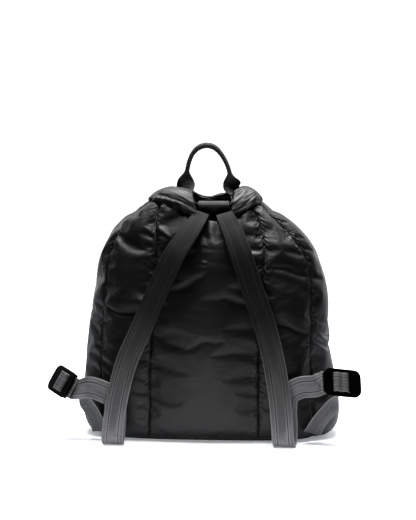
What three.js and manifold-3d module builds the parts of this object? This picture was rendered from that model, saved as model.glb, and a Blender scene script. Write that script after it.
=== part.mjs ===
// A quilted puffer backpack with a drawstring mouth, two webbing shoulder straps and a haul loop.
// Millimetres, +Z up. The strap side faces -Y, and the origin is the middle of the flat underside.
// The bag is a shell of padded panels, stitched flat where they meet, round one open compartment.

import * as THREE from "three";
import { mergeVertices } from "three/addons/utils/BufferGeometryUtils.js";
import Module from "manifold-3d";

// Bag body
const BODY_WIDTH = 356; // across the stitch lines of the sagging foot
const BODY_DEPTH = 160; // through the stitch lines of the strap side and the far side
const BODY_HEIGHT = 331; // floor to the casing seam, at the sides of the mouth
const SEAM_THICKNESS = 2.6; // the wall where it is stitched flat
const OUTER_PUFF = 7; // how far a channel swells outside its stitch lines
const LINING_PUFF = 3; // how far it swells into the compartment
const GATHER_HEIGHT = 2.6; // gathers under the casing, above and below the wall's own line
const SEAM_GAP = 0.4; // clearance between stitched pieces
const NEAR_DIP = 27; // how far the straps pull the strap side's top edge down
const FAR_DIP = 12; // how far the far side's top edge sags
const DIP_SHARPNESS = 5; // how narrow both dips are round the mouth
const DIP_START = 0.62; // the share of BODY_HEIGHT above which the wall dips
const GATHER_START = 0.68; // the gathers grow between these two shares of the way up the wall
const GATHER_FULL = 0.97;
const PUFF_ACROSS = { flatness: 2, fullness: 0.6 }; // shape of a channel's swelling, side to side
const PUFF_UP = { flatness: 7, fullness: 0.6 }; // and from its foot to its top
const GATHER_ACROSS = { flatness: 2, fullness: 0.5 }; // shape of the gathers' fading at the seams
const WALL_ROWS = 16; // facets up a panel
const ARC_SAMPLES = 64; // steps for measuring along a row of the wall
const NORMAL_STEP = 0.012; // step for finding the way out of the bag

// Base
const BASE_THICKNESS = 7;
const BASE_BEVEL = 2;
const BASE_GAP = 0.7; // clearance to the walls' foot
const BASE_FACETS = 44;

// Casing, the padded tube round the mouth that the drawcord runs in
const MOUTH_WIDTH = 95; // across the rim
const MOUTH_NEAR = 27; // from the middle to the rim on the strap side
const MOUTH_FAR = 40; // the same on the far side
const CASING_RISE = 20; // from the casing seam up to the rim, at the sides
const CASING_NEAR_DIP = 20; // how far the rim dips at the straps
const CASING_FAR_DIP = 13;
const CASING_THICKNESS = 13;
const CASING_RUFFLE = 1.6; // gathers of the tube's outside, in and out
const CASING_GATHERS = 13;
const RUFFLE_START = 0.1; // the gathers grow between these two shares of the way from either end
const RUFFLE_FULL = 0.26;
const CASING_CLEARANCE = 1.3; // the stitched edge stands this far above the panels
const CASING_LEFT_END = -28; // the tube is open on the strap side between these two places
const CASING_RIGHT_END = 41;
const CASING_STATIONS = 52;

// Drawcord and the webbing tunnel over it
const CORD_DIAMETER = 5;
const CORD_SIDES = 7;
const CORD_STEPS = 76;
const CORD_SLACK = 1.6; // clearance round the cord in its tunnel
const TUNNEL_LENGTH = 44;
const TUNNEL_WALL = 1.8;
const TUNNEL_FACETS = 18;
const BORE_FACETS = 7; // in each quarter turn of the bore
const TUNNEL_REACH = 0.97; // the cord is straight this far from the middle, in half tunnel lengths
const TUNNEL_FLAP = 20; // the flat tail behind the straps' tops, measured down from the cord
const FLAP_SETBACK = 2.6; // the tail's middle stands this far inside the cord's line
const TUNNEL_CENTRE = 10; // the straps' junction lies this far towards +X
const TUNNEL_DROP = 7.5; // the tunnel hangs this far below the ends of the casing's channel

// Haul loop
const LOOP_WIDTH = 25; // flat webbing at the sewn ends
const LOOP_THICKNESS = 2.4;
const LOOP_ROUND = 8; // across the folded round part
const LOOP_SPAN = 61; // between the loop's legs
const LOOP_RISE = 60; // the loop's height above the rim
const LOOP_FOOT = 0.075; // where the feet are sewn, as a share of the way round the casing
const FOOT_LOW = 0.3; // the feet's sewn stretch, as shares of the way up the casing
const FOOT_HIGH = 0.95;
const LOOP_FLAT = 0.11; // the webbing is flat up to this share of its length from either end
const LOOP_FOLDED = 0.21; // and fully folded from this share on
const LOOP_STATIONS = 30;
const LOOP_INSET = 6.6; // the middle of a flat foot stands this far off the casing's curved inside

// Shoulder straps
const STRAP_WIDTH = 30;
const STRAP_TOP = 24; // the width where the strap folds over the top edge
const STRAP_THICKNESS = 4.4;
const STRAP_LOOP = 2; // thickness of the loop round the buckle's rear bar
const STRAP_WIDENING = [0.08, 0.2]; // from the top's width to the full width, as shares of the length
const STRAP_THINNING = [-0.06, 0.02]; // the same for its thickness, before and after the buckle's loop
const STRAP_STATIONS = 60;

// Buckles and the adjusting webbings that run through them
const BUCKLE_LENGTH = 54; // along the webbing
const BUCKLE_WIDTH = 38.5; // across the webbing
const BUCKLE_THICKNESS = 4;
const BUCKLE_CORNER = 10;
const CORNER_FACETS = 4;
const BUCKLE_RAIL = 3.4; // the side rails, beside the inner slot
const BUCKLE_TAPER = 0.3; // each slot further out is this much narrower on both sides
const BUCKLE_END = 11; // the solid inner end, over the strap's loop
const BUCKLE_BAR = 3.5; // each bar under the adjusting webbing
const REAR_BAR = 2.8; // the bar that the strap is looped round
const LUG_THICKNESS = 2.4; // the two lugs that hold it behind the plate
const LUG_INSET = 1; // how far they stand inside the plate's sides
const BUCKLE_SLOT = 7; // each slot for webbing
const LOOP_BAR_PLACE = 8; // the rear bar, which the strap is looped round, from the inner end
const WEB_WIDTH = 27;
const WEB_THICKNESS = 1.8;
const WEB_GAP = 0.5; // clearance between webbing and buckle
const LOOP_GAP = 0.7; // clearance between the strap's loop and the rear bar
const WEB_ENTRY = 10; // the webbing turns into the outer slot this far behind the plate
const WEB_ENTRY_LEAN = 2;
const WEB_TAIL = 6; // and hangs this far out of the inner slot
const WEB_TAIL_LEAN = 0.6;
const WEB_RIDGE = 0.6; // how much higher it lies over each bar
const WEB_SAG = 1; // how much lower between them
const WEB_SHOULDER = [1.2, 0.8]; // its bend out of a slot: inwards, and up as a share of its lift
const WEB_STATIONS = 40;

// A table's rows as objects, from its column names and the rows' numbers.
function tableOf(names, rows) {
  return rows.map((row) => Object.fromEntries(names.split(" ").map((name, i) => [name, row[i]])));
}

const COLOURS = { shell: 0x17181a, webbing: 0x2b2c2e, cord: 0x0c0c0d, buckle: 0x08090a };

// Sections of the wall at its stitch lines, from the foot up to the casing seam.
// up: share of BODY_HEIGHT. left, right: shares of half BODY_WIDTH. near, far: shares of half BODY_DEPTH.
// square: exponent of the superellipse. inner, outer: the stitched seams, as shares of the section's
// half width. lean: how far the strap side's seams shift towards +X, as a share of half BODY_WIDTH.
const SECTIONS = tableOf("up left right near far square inner outer lean", [
  [0.012, 0.83, 0.855, 0.84, 0.85, 3.4, 0.51, 0.9, -0.01],
  [0.028, 0.91, 0.945, 0.92, 0.94, 3.2, 0.46, 0.87, -0.01],
  [0.07, 0.955, 1.005, 0.97, 1.0, 3.1, 0.435, 0.84, -0.01],
  [0.16, 0.965, 1.0, 0.98, 1.02, 3.0, 0.43, 0.835, -0.005],
  [0.29, 0.932, 0.935, 0.97, 1.0, 3.0, 0.455, 0.88, 0.0],
  [0.42, 0.91, 0.913, 0.95, 0.98, 3.0, 0.46, 0.895, 0.01],
  [0.55, 0.885, 0.905, 0.91, 0.94, 2.9, 0.465, 0.905, 0.02],
  [0.67, 0.855, 0.88, 0.85, 0.89, 2.8, 0.48, 0.92, 0.03],
  [0.77, 0.825, 0.825, 0.78, 0.83, 2.6, 0.51, 0.925, 0.04],
  [0.85, 0.765, 0.725, 0.71, 0.76, 2.4, 0.56, 0.925, 0.05],
  [0.91, 0.68, 0.6, 0.645, 0.7, 2.2, 0.64, 0.935, 0.045],
  [0.955, 0.575, 0.49, 0.59, 0.645, 2.1, 0.73, 0.95, 0.035],
  [1.0, 0.475, 0.41, 0.54, 0.6, 2.0, 0.79, 0.965, 0.02],
]);

// Main folds of the strap side and gussets. up: share of BODY_HEIGHT. from, to: the fold's span as
// shares of the panel's width. slope: rise over that span and tall: half height, shares of BODY_HEIGHT.
// deep: depth of the dent as a share of OUTER_PUFF.
const FOLDS = [
  { panel: "back_centre_panel", up: 0.885, from: 0.05, to: 0.95, slope: -0.02, tall: 0.022, deep: 0.7 },
  { panel: "back_centre_panel", up: 0.76, from: 0.0, to: 0.8, slope: -0.03, tall: 0.025, deep: 0.6 },
  { panel: "back_centre_panel", up: 0.615, from: 0.0, to: 1.0, slope: 0.03, tall: 0.022, deep: 0.8 },
  { panel: "back_centre_panel", up: 0.46, from: 0.0, to: 0.5, slope: -0.04, tall: 0.02, deep: 0.55 },
  { panel: "back_centre_panel", up: 0.33, from: 0.3, to: 1.0, slope: 0.03, tall: 0.02, deep: 0.35 },
  { panel: "back_left_panel", up: 0.62, from: 0.0, to: 0.9, slope: -0.06, tall: 0.02, deep: 0.6 },
  { panel: "back_left_panel", up: 0.36, from: 0.0, to: 1.0, slope: -0.02, tall: 0.025, deep: 0.6 },
  { panel: "back_right_panel", up: 0.73, from: 0.0, to: 0.9, slope: 0.07, tall: 0.02, deep: 0.5 },
  { panel: "back_right_panel", up: 0.36, from: 0.2, to: 1.0, slope: 0.02, tall: 0.02, deep: 0.45 },
  { panel: "right_gusset", up: 0.5, from: 0.0, to: 0.6, slope: 0.02, tall: 0.02, deep: 0.4 },
  { panel: "left_gusset", up: 0.5, from: 0.4, to: 1.0, slope: -0.02, tall: 0.02, deep: 0.4 },
];

// Panels, by the seams that bound them going round from the strap side's right inner seam.
const PANELS = [
  { name: "back_right_panel", from: "nearInnerRight", to: "nearOuterRight", columns: 8, gathers: 2 },
  { name: "right_gusset", from: "nearOuterRight", to: "farOuterRight", columns: 9, gathers: 2 },
  { name: "front_right_panel", from: "farOuterRight", to: "farInnerRight", columns: 7, gathers: 2 },
  { name: "front_centre_panel", from: "farInnerRight", to: "farInnerLeft", columns: 12, gathers: 3 },
  { name: "front_left_panel", from: "farInnerLeft", to: "farOuterLeft", columns: 7, gathers: 2 },
  { name: "left_gusset", from: "farOuterLeft", to: "nearOuterLeft", columns: 9, gathers: 2 },
  { name: "back_left_panel", from: "nearOuterLeft", to: "nearInnerLeft", columns: 8, gathers: 2 },
  { name: "back_centre_panel", from: "nearInnerLeft", to: "nearInnerRight", columns: 12, gathers: 4 },
];

// The casing's profile, from the seam (along 0) to the rim (along 1).
// outside, inside: shares of half CASING_THICKNESS on the two faces of the tube.
const CASING_PROFILE = [
  { along: 0.0, outside: 0.2, inside: 0.2 },
  { along: 0.25, outside: 0.95, inside: 0.7 },
  { along: 0.55, outside: 1.0, inside: 0.95 },
  { along: 0.82, outside: 0.7, inside: 0.8 },
  { along: 1.0, outside: 0.2, inside: 0.3 },
];
const CHANNEL_PROFILE = [
  { along: 0.3, outside: 0.2, inside: 0.2 },
  { along: 0.55, outside: 0.62, inside: 0.56 },
  { along: 0.8, outside: 0.2, inside: 0.2 },
];

// Centre lines of the shoulder straps, chosen by hand from the fold over the top edge to the buckle.
// across: share of half BODY_WIDTH. out: distance in front of the middle, share of BODY_DEPTH.
// up: share of BODY_HEIGHT. face: the way the strap's outer face looks.
const LEFT_STRAP = [
  { across: -0.08, out: 0.212, up: 0.885, face: [0.15, 1, 0.1] },
  { across: -0.052, out: 0.215, up: 0.92, face: [0.15, 1, 0.2] },
  { across: -0.036, out: 0.266, up: 0.949, face: [0.34, 0, 1] },
  { across: -0.05, out: 0.33, up: 0.93, face: [-0.15, -1, 0.9] },
  { across: -0.098, out: 0.41, up: 0.885, face: [-0.2, -1, 0.45] },
  { across: -0.215, out: 0.512, up: 0.788, face: [-0.12, -1, 0.25] },
  { across: -0.355, out: 0.565, up: 0.624, face: [-0.08, -1, 0.12] },
  { across: -0.47, out: 0.587, up: 0.478, face: [-0.05, -1, 0.08] },
  { across: -0.585, out: 0.612, up: 0.336, face: [-0.05, -1, 0.1] },
  { across: -0.65, out: 0.65, up: 0.192, face: [-0.08, -1, 0.12] },
  { across: -0.678, out: 0.695, up: 0.075, face: [-0.05, -1, 0.1] },
  { across: -0.683, out: 0.708, up: 0.03, face: [0, -1, -0.25] },
  { across: -0.682, out: 0.675, up: 0.009, face: [0, 0, -1] },
  { across: -0.68, out: 0.638, up: 0.03, face: [0, 1, -0.25] },
  { across: -0.675, out: 0.61, up: 0.085, face: [0.03, 1, 0.05] },
  { across: -0.672, out: 0.6, up: 0.14, face: [0.08, 1, 0] },
  { across: -0.69, out: 0.602, up: 0.19, face: [0.1, 1, -0.05] },
  { across: -0.77, out: 0.6, up: 0.215, face: [0.1, 1, -0.1] },
  { across: -0.87, out: 0.585, up: 0.23, face: [0.15, 1, -0.2] },
];
const RIGHT_STRAP = [
  { across: 0.182, out: 0.19, up: 0.885, face: [-0.3, 1, 0.1] },
  { across: 0.162, out: 0.197, up: 0.92, face: [-0.3, 1, 0.2] },
  { across: 0.147, out: 0.255, up: 0.945, face: [-0.3, 0, 1] },
  { across: 0.162, out: 0.33, up: 0.932, face: [0.1, -1, 0.9] },
  { across: 0.21, out: 0.405, up: 0.885, face: [0.2, -1, 0.45] },
  { across: 0.285, out: 0.505, up: 0.788, face: [0.12, -1, 0.25] },
  { across: 0.392, out: 0.56, up: 0.624, face: [0.08, -1, 0.12] },
  { across: 0.485, out: 0.587, up: 0.478, face: [0.05, -1, 0.08] },
  { across: 0.55, out: 0.612, up: 0.336, face: [0.05, -1, 0.1] },
  { across: 0.594, out: 0.65, up: 0.192, face: [0.08, -1, 0.12] },
  { across: 0.615, out: 0.69, up: 0.075, face: [0.08, -1, 0.1] },
  { across: 0.622, out: 0.7, up: 0.03, face: [0.05, -1, -0.25] },
  { across: 0.632, out: 0.665, up: 0.009, face: [0, 0, -1] },
  { across: 0.642, out: 0.63, up: 0.03, face: [0, 1, -0.25] },
  { across: 0.645, out: 0.6, up: 0.085, face: [-0.03, 1, 0.05] },
  { across: 0.64, out: 0.588, up: 0.15, face: [-0.08, 1, 0] },
  { across: 0.66, out: 0.58, up: 0.21, face: [-0.1, 1, -0.05] },
  { across: 0.745, out: 0.575, up: 0.24, face: [-0.1, 1, -0.1] },
  { across: 0.87, out: 0.565, up: 0.248, face: [-0.1, 1, -0.2] },
];

// The strap's loop round the buckle's rear bar, in the buckle's own frame.
// along, lift: distances from the bar's middle, shares of the loop's radius.
const BAR_LOOP_LINE = tableOf("along lift faceAlong faceUp", [
  [-2.58, -0.9, 0, -1],
  [0, -1, 0, -1],
  [0.75, -0.75, 1, -1],
  [1, 0, 1, 0],
  [0.75, 0.75, 1, 1],
  [0, 0.935, 0, 1],
  [-3.55, 0.84, 0, 1],
]);

// Where each buckle lies, in the same shares, which way its outer end points and its face looks.
const LEFT_BUCKLE = {
  across: -1.126,
  out: 0.4125,
  up: 0.242,
  along: [-0.6, 0.77, 0.16],
  face: [-0.64, -0.6, 0.465],
};
const RIGHT_BUCKLE = {
  across: 1.065,
  out: 0.55,
  up: 0.261,
  along: [0.93, 0.34, -0.13],
  face: [0.36, -0.82, 0.43],
};

// Each adjusting webbing, from its sewn foot on the side seam up to behind its buckle.
const LEFT_ADJUSTER = [
  { across: -0.82, out: 0.44, up: 0.035, face: [-0.5, -0.9, 0.1] },
  { across: -0.85, out: 0.465, up: 0.09, face: [-0.6, -0.8, 0.1] },
  { across: -0.925, out: 0.45, up: 0.15, face: [-0.75, -0.6, 0.1] },
];
const RIGHT_ADJUSTER = [
  { across: 0.84, out: 0.44, up: 0.04, face: [0.5, -0.9, 0.1] },
  { across: 0.89, out: 0.475, up: 0.09, face: [0.6, -0.8, 0] },
  { across: 0.975, out: 0.495, up: 0.15, face: [0.7, -0.7, 0.1] },
];

// The haul loop's centre line above its sewn feet, from the left leg to the right.
// across: share of half LOOP_SPAN. rise: share of LOOP_RISE.
const LOOP_LINE = [
  { across: -1.03, rise: 0.18 },
  { across: -0.97, rise: 0.42 },
  { across: -0.87, rise: 0.62 },
  { across: -0.7, rise: 0.8 },
  { across: -0.42, rise: 0.93 },
  { across: -0.08, rise: 0.975 },
  { across: 0.28, rise: 0.93 },
  { across: 0.6, rise: 0.77 },
  { across: 0.84, rise: 0.56 },
  { across: 0.98, rise: 0.36 },
  { across: 1.05, rise: 0.14 },
];

const wasm = await Module();
wasm.setup();

const up = new THREE.Vector3(0, 0, 1);
const halfWidth = BODY_WIDTH / 2;
const halfDepth = BODY_DEPTH / 2;

// Smooth interpolation through the rows of a table, by row number.
function tableCurve(rows, columns) {
  const places = rows.map((row, i) => i);
  const values = rows.flatMap((row) => columns.map((column) => row[column]));
  const curve = new THREE.CubicInterpolant(places, values, columns.length);
  return (place) => {
    const found = curve.evaluate(place);
    return Object.fromEntries(columns.map((column, i) => [column, found[i]]));
  };
}

const sectionAt = tableCurve(SECTIONS, Object.keys(SECTIONS[0]));
const LAST_SECTION = SECTIONS.length - 1;

// How strongly a dip centred on the strap side or the far side acts at an angle round the bag.
const nearAngle = -Math.PI / 2 + Math.asin(TUNNEL_CENTRE / (MOUTH_WIDTH / 2));
const dipShare = (angle, centre) => Math.max(0, Math.cos(angle - centre)) ** DIP_SHARPNESS;

// A point of the wall's stitch surface: row runs from 0 at the foot to 1 at the casing seam.
function wallPoint(row, angle) {
  const s = sectionAt(row * LAST_SECTION);
  const power = 2 / s.square;
  const [c, d] = [Math.cos(angle), Math.sin(angle)];
  const depth = d < 0 ? s.near : s.far;
  const x = halfWidth * (c < 0 ? s.left : s.right) * Math.sign(c) * Math.abs(c) ** power;
  const y = halfDepth * depth * Math.sign(d) * Math.abs(d) ** power;
  const fade = THREE.MathUtils.smoothstep(s.up, DIP_START, 1);
  const dip = NEAR_DIP * dipShare(angle, nearAngle) + FAR_DIP * dipShare(angle, Math.PI / 2);
  return new THREE.Vector3(x, y, BODY_HEIGHT * s.up - dip * fade);
}

// The way out of the bag, square to the stitch surface.
function wallNormal(row, angle) {
  const [low, high] = [Math.max(0, row - NORMAL_STEP), Math.min(1, row + NORMAL_STEP)];
  const upward = wallPoint(high, angle).sub(wallPoint(low, angle));
  const round = wallPoint(row, angle + NORMAL_STEP).sub(wallPoint(row, angle - NORMAL_STEP));
  return round.cross(upward).normalize();
}

// The angle of each seam at a row, counted round from the right.
function seamAngles(row) {
  const s = sectionAt(row * LAST_SECTION);
  const angleOf = (share) => Math.acos(THREE.MathUtils.clamp(share, -0.995, 0.995) ** (s.square / 2));
  return {
    nearInnerRight: -angleOf(s.inner + s.lean / s.right),
    nearOuterRight: -angleOf(s.outer),
    farOuterRight: angleOf(s.outer),
    farInnerRight: angleOf(s.inner),
    farInnerLeft: Math.PI - angleOf(s.inner),
    farOuterLeft: Math.PI - angleOf(s.outer),
    nearOuterLeft: Math.PI + angleOf(s.outer),
    nearInnerLeft: Math.PI + angleOf(s.inner - s.lean / s.left),
  };
}

// Angles that divide a row between two seams into columns of equal width, less the seams' clearance.
function columnAngles(row, from, to, columns) {
  const angles = Array.from({ length: ARC_SAMPLES + 1 }, (none, i) => {
    return from + ((to - from) * i) / ARC_SAMPLES;
  });
  const reach = [0];
  for (let i = 1; i <= ARC_SAMPLES; i += 1) {
    reach.push(reach[i - 1] + wallPoint(row, angles[i]).distanceTo(wallPoint(row, angles[i - 1])));
  }
  const total = reach[ARC_SAMPLES];
  return Array.from({ length: columns + 1 }, (none, c) => {
    const wanted = SEAM_GAP / 2 + ((total - SEAM_GAP) * c) / columns;
    const i = Math.max(1, reach.findIndex((r) => r >= wanted));
    const share = (wanted - reach[i - 1]) / (reach[i] - reach[i - 1]);
    return angles[i - 1] + (angles[i] - angles[i - 1]) * share;
  });
}

// A channel's swelling: 0 at both stitched sides, 1 in the middle.
function swell(share, { flatness, fullness }) {
  return (1 - Math.abs(2 * share - 1) ** flatness) ** fullness;
}

// How deep the main folds dent a panel at a point.
function foldDepth(panel, across, rise) {
  return FOLDS.filter((fold) => fold.panel === panel).reduce((sum, fold) => {
    const along = (across - fold.from) / (fold.to - fold.from);
    if (along <= 0 || along >= 1) return sum;
    const away = (rise - fold.up - fold.slope * (along - 0.5)) / fold.tall;
    return sum + fold.deep * OUTER_PUFF * Math.sin(Math.PI * along) ** 0.5 * Math.exp(-away * away);
  }, 0);
}

// Joins rings of points, each a closed loop, into triangles; flip turns them over.
function joinRings(rings, indices, offset, flip = false) {
  const n = rings[0].length;
  for (let i = 0; i + 1 < rings.length; i += 1) {
    for (let j = 0; j < n; j += 1) {
      const a = offset + i * n + j;
      const b = offset + i * n + ((j + 1) % n);
      const quad = flip ? [a, b + n, b, a, a + n, b + n] : [a, b, b + n, a, b + n, a + n];
      indices.push(...quad);
    }
  }
}

function geometryOf(points, indices) {
  const geometry = new THREE.BufferGeometry();
  geometry.setAttribute("position", new THREE.Float32BufferAttribute(points.flatMap((p) => p.toArray()), 3));
  geometry.setIndex(indices);
  return geometry;
}

// A solid swept through closed rings, capped at both ends; loops inside each ring make a tube.
// flatten gives a cap's points in the cap's own plane, where they are triangulated.
function sweptSolid(rings, flatten, holes = []) {
  const points = [...rings.flat(), ...holes.flat()];
  const indices = [];
  const holeStart = rings.flat().length;
  joinRings(rings, indices, 0);
  if (holes.length) joinRings(holes, indices, holeStart, true);
  const last = rings.length - 1;
  [0, last].forEach((end) => {
    const outline = rings[end].map((p) => flatten(p, end));
    const inner = holes.length ? [holes[end].map((p) => flatten(p, end))] : [];
    const names = [
      ...rings[end].map((p, j) => end * rings[0].length + j),
      ...(holes.length ? holes[end].map((p, j) => holeStart + end * holes[0].length + j) : []),
    ];
    const clockwise = THREE.ShapeUtils.isClockWise(outline);
    THREE.ShapeUtils.triangulateShape(outline, inner).forEach(([a, b, c]) => {
      const cap = [names[a], names[b], names[c]];
      const turned = (end === 0) !== clockwise ? cap.reverse() : cap;
      indices.push(...turned);
    });
  });
  return geometryOf(points, indices);
}

// One padded panel: an outer and an inner grid, closed along its four stitched edges.
function panelGeometry({ name, from, to, columns, gathers }) {
  const outer = [];
  const inner = [];
  for (let i = 0; i <= WALL_ROWS; i += 1) {
    const row = i / WALL_ROWS;
    const seams = seamAngles(row);
    const start = seams[from];
    const end = seams[to] > start ? seams[to] : seams[to] + 2 * Math.PI;
    const rise = sectionAt(row * LAST_SECTION).up;
    const tall = swell(row, PUFF_UP);
    const gathered = THREE.MathUtils.smoothstep(row, GATHER_START, GATHER_FULL);
    columnAngles(row, start, end, columns).forEach((angle, c) => {
      const across = c / columns;
      const puff = swell(across, PUFF_ACROSS) * tall;
      const wave = -Math.cos(2 * Math.PI * gathers * across);
      const pleat = GATHER_HEIGHT * gathered * swell(across, GATHER_ACROSS) * wave;
      const dent = Math.min(foldDepth(name, across, rise), OUTER_PUFF) * puff;
      const point = wallPoint(row, angle);
      const normal = wallNormal(row, angle);
      const inward = row === 0 ? up : normal.clone().negate();
      const flatEdge = i === WALL_ROWS ? 0 : pleat;
      outer.push(point.clone().addScaledVector(normal, OUTER_PUFF * puff - dent + flatEdge));
      inner.push(point.clone().addScaledVector(inward, SEAM_THICKNESS + LINING_PUFF * puff - flatEdge));
    });
  }
  const wide = columns + 1;
  const size = outer.length;
  const indices = [];
  const quad = (a, b, c, d) => indices.push(a, b, c, a, c, d);
  for (let i = 0; i < WALL_ROWS; i += 1) {
    for (let c = 0; c < columns; c += 1) {
      const a = i * wide + c;
      quad(a, a + 1, a + wide + 1, a + wide);
      quad(size + a, size + a + wide, size + a + wide + 1, size + a + 1);
    }
    const left = i * wide;
    const right = left + columns;
    quad(left, left + wide, size + left + wide, size + left);
    quad(right, size + right, size + right + wide, right + wide);
  }
  const top = WALL_ROWS * wide;
  for (let c = 0; c < columns; c += 1) {
    quad(c, size + c, size + c + 1, c + 1);
    quad(top + c, top + c + 1, size + top + c + 1, size + top + c);
  }
  return geometryOf([...outer, ...inner], indices);
}

// The padded base: its outline follows the walls' foot, one seam's clearance inside it.
function baseGeometry() {
  const outline = (inset, height) =>
    Array.from({ length: BASE_FACETS }, (none, i) => {
      const angle = (2 * Math.PI * (i + 0.5)) / BASE_FACETS;
      const inward = wallNormal(0, angle).setZ(0).normalize();
      return wallPoint(0, angle).addScaledVector(inward, -inset).setZ(height);
    });
  const rings = [
    outline(BASE_GAP + BASE_BEVEL, 0),
    outline(BASE_GAP, BASE_BEVEL),
    outline(BASE_GAP, BASE_THICKNESS - BASE_BEVEL),
    outline(BASE_GAP + 2 * BASE_BEVEL, BASE_THICKNESS),
  ];
  return sweptSolid(rings, (p) => new THREE.Vector2(p.x, p.y));
}

// The rim of the mouth. The angle is counted as on the wall.
const mouthHalf = MOUTH_WIDTH / 2;

function rimPoint(angle) {
  const [c, d] = [Math.cos(angle), Math.sin(angle)];
  const dip = CASING_NEAR_DIP * dipShare(angle, nearAngle) + CASING_FAR_DIP * dipShare(angle, Math.PI / 2);
  const depth = d < 0 ? MOUTH_NEAR : MOUTH_FAR;
  return new THREE.Vector3(mouthHalf * c, depth * d, BODY_HEIGHT + CASING_RISE - dip);
}

// The casing's lie at a station, which runs from 0 at its right end round the far side to 1.
function casingFrame(station) {
  const top = SECTIONS[LAST_SECTION];
  const angleAt = (leftHalf, rightHalf) => {
    const start = -Math.acos(CASING_RIGHT_END / rightHalf);
    const end = Math.PI + Math.acos(-CASING_LEFT_END / leftHalf);
    return start + (end - start) * station;
  };
  const seamAngle = angleAt(halfWidth * top.left, halfWidth * top.right);
  const seam = wallPoint(1, seamAngle);
  const rim = rimPoint(angleAt(mouthHalf, mouthHalf));
  const along = rim.clone().sub(seam).normalize();
  const round = new THREE.Vector3(-Math.sin(seamAngle), Math.cos(seamAngle), 0);
  const outward = round.clone().cross(along).normalize();
  seam.addScaledVector(along, CASING_CLEARANCE).addScaledVector(outward, -SEAM_THICKNESS / 2);
  return { seam, rim, outward };
}

// The gathers fade out on the two smooth lobes beside the tunnel.
function ruffleAt(station) {
  const smooth = THREE.MathUtils.smoothstep(Math.min(station, 1 - station), RUFFLE_START, RUFFLE_FULL);
  return CASING_RUFFLE * smooth * Math.cos(2 * Math.PI * CASING_GATHERS * station);
}

// A point of the casing: along from seam to rim, and off its middle by a distance outwards.
function casingPoint(station, along, off) {
  const { seam, rim, outward } = casingFrame(station);
  return seam.lerp(rim, along).addScaledVector(outward, off);
}

function casingRing(profile, station, ruffle) {
  const half = CASING_THICKNESS / 2;
  return [
    ...profile.map((row) => casingPoint(station, row.along, -row.inside * half)),
    ...[...profile].reverse().map((row) => {
      return casingPoint(station, row.along, row.outside * (half + ruffle));
    }),
  ];
}

function casingGeometry() {
  const stations = Array.from({ length: CASING_STATIONS + 1 }, (none, i) => i / CASING_STATIONS);
  const rings = stations.map((station) => casingRing(CASING_PROFILE, station, ruffleAt(station)));
  const channel = stations.map((station) => casingRing(CHANNEL_PROFILE, station, 0));
  return sweptSolid(rings, (p) => new THREE.Vector2(p.y, p.z), channel);
}

// The middle of the casing's channel, where the drawcord runs.
function channelPoint(station) {
  const { along, outside, inside } = CHANNEL_PROFILE[1];
  return casingPoint(station, along, ((outside - inside) / 4) * CASING_THICKNESS);
}

// A cord straight through the tunnel and round the channel, its two ends butted inside the tunnel.
function drawcordGeometry() {
  const axis = tunnelAxis();
  const inTunnel = (share) => axis.clone().setX(TUNNEL_CENTRE + (share * TUNNEL_LENGTH) / 2);
  const ringPoints = Array.from({ length: CASING_STATIONS / 2 + 1 }, (none, i) => {
    return channelPoint((2 * i) / CASING_STATIONS);
  });
  const butt = SEAM_GAP / TUNNEL_LENGTH;
  const right = [inTunnel(butt), inTunnel(TUNNEL_REACH / 2), inTunnel(TUNNEL_REACH)];
  const left = [inTunnel(-TUNNEL_REACH), inTunnel(-TUNNEL_REACH / 2), inTunnel(-butt)];
  const route = [...right, ...ringPoints, ...left];
  const section = new THREE.Shape(
    Array.from({ length: CORD_SIDES }, (none, i) => {
      const turn = (2 * Math.PI * i) / CORD_SIDES;
      return new THREE.Vector2(Math.cos(turn), Math.sin(turn)).multiplyScalar(CORD_DIAMETER / 2);
    }),
  );
  const path = new THREE.CatmullRomCurve3(route, false, "centripetal");
  return new THREE.ExtrudeGeometry(section, { steps: CORD_STEPS, extrudePath: path });
}

// The tunnel's axis, level and just below the ends of the casing's channel.
function tunnelAxis() {
  const middle = channelPoint(0).add(channelPoint(1)).multiplyScalar(0.5);
  return new THREE.Vector3(0, middle.y, middle.z - TUNNEL_DROP);
}

// Webbing folded over the drawcord: a round bore with a flat tail, sewn behind the straps' tops.
function tunnelGeometry() {
  const bore = CORD_DIAMETER / 2 + CORD_SLACK;
  const round = bore + TUNNEL_WALL;
  const [front, back] = [FLAP_SETBACK - TUNNEL_WALL, FLAP_SETBACK + TUNNEL_WALL];
  const start = -Math.acos(back / round);
  const sweep = 2 * Math.PI - (Math.acos(front / round) + start);
  const arc = Array.from({ length: TUNNEL_FACETS + 1 }, (none, i) => {
    const turn = start + (sweep * i) / TUNNEL_FACETS;
    return new THREE.Vector2(Math.cos(turn), Math.sin(turn)).multiplyScalar(round);
  });
  const tail = [new THREE.Vector2(front, -TUNNEL_FLAP), new THREE.Vector2(back, -TUNNEL_FLAP)];
  const section = new THREE.Shape([...arc, ...tail]);
  section.holes.push(new THREE.Path().absarc(0, 0, bore, 0, 2 * Math.PI, true));
  const length = TUNNEL_LENGTH - 2 * SEAM_GAP;
  const options = { depth: length, bevelEnabled: false, curveSegments: BORE_FACETS };
  const geometry = new THREE.ExtrudeGeometry(section, options);
  const inward = new THREE.Vector3(0, 1, 0);
  const across = new THREE.Vector3(1, 0, 0);
  const { y, z } = tunnelAxis();
  geometry.applyMatrix4(new THREE.Matrix4().makeBasis(inward, up, across));
  return geometry.translate(TUNNEL_CENTRE - length / 2, y, z);
}

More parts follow.
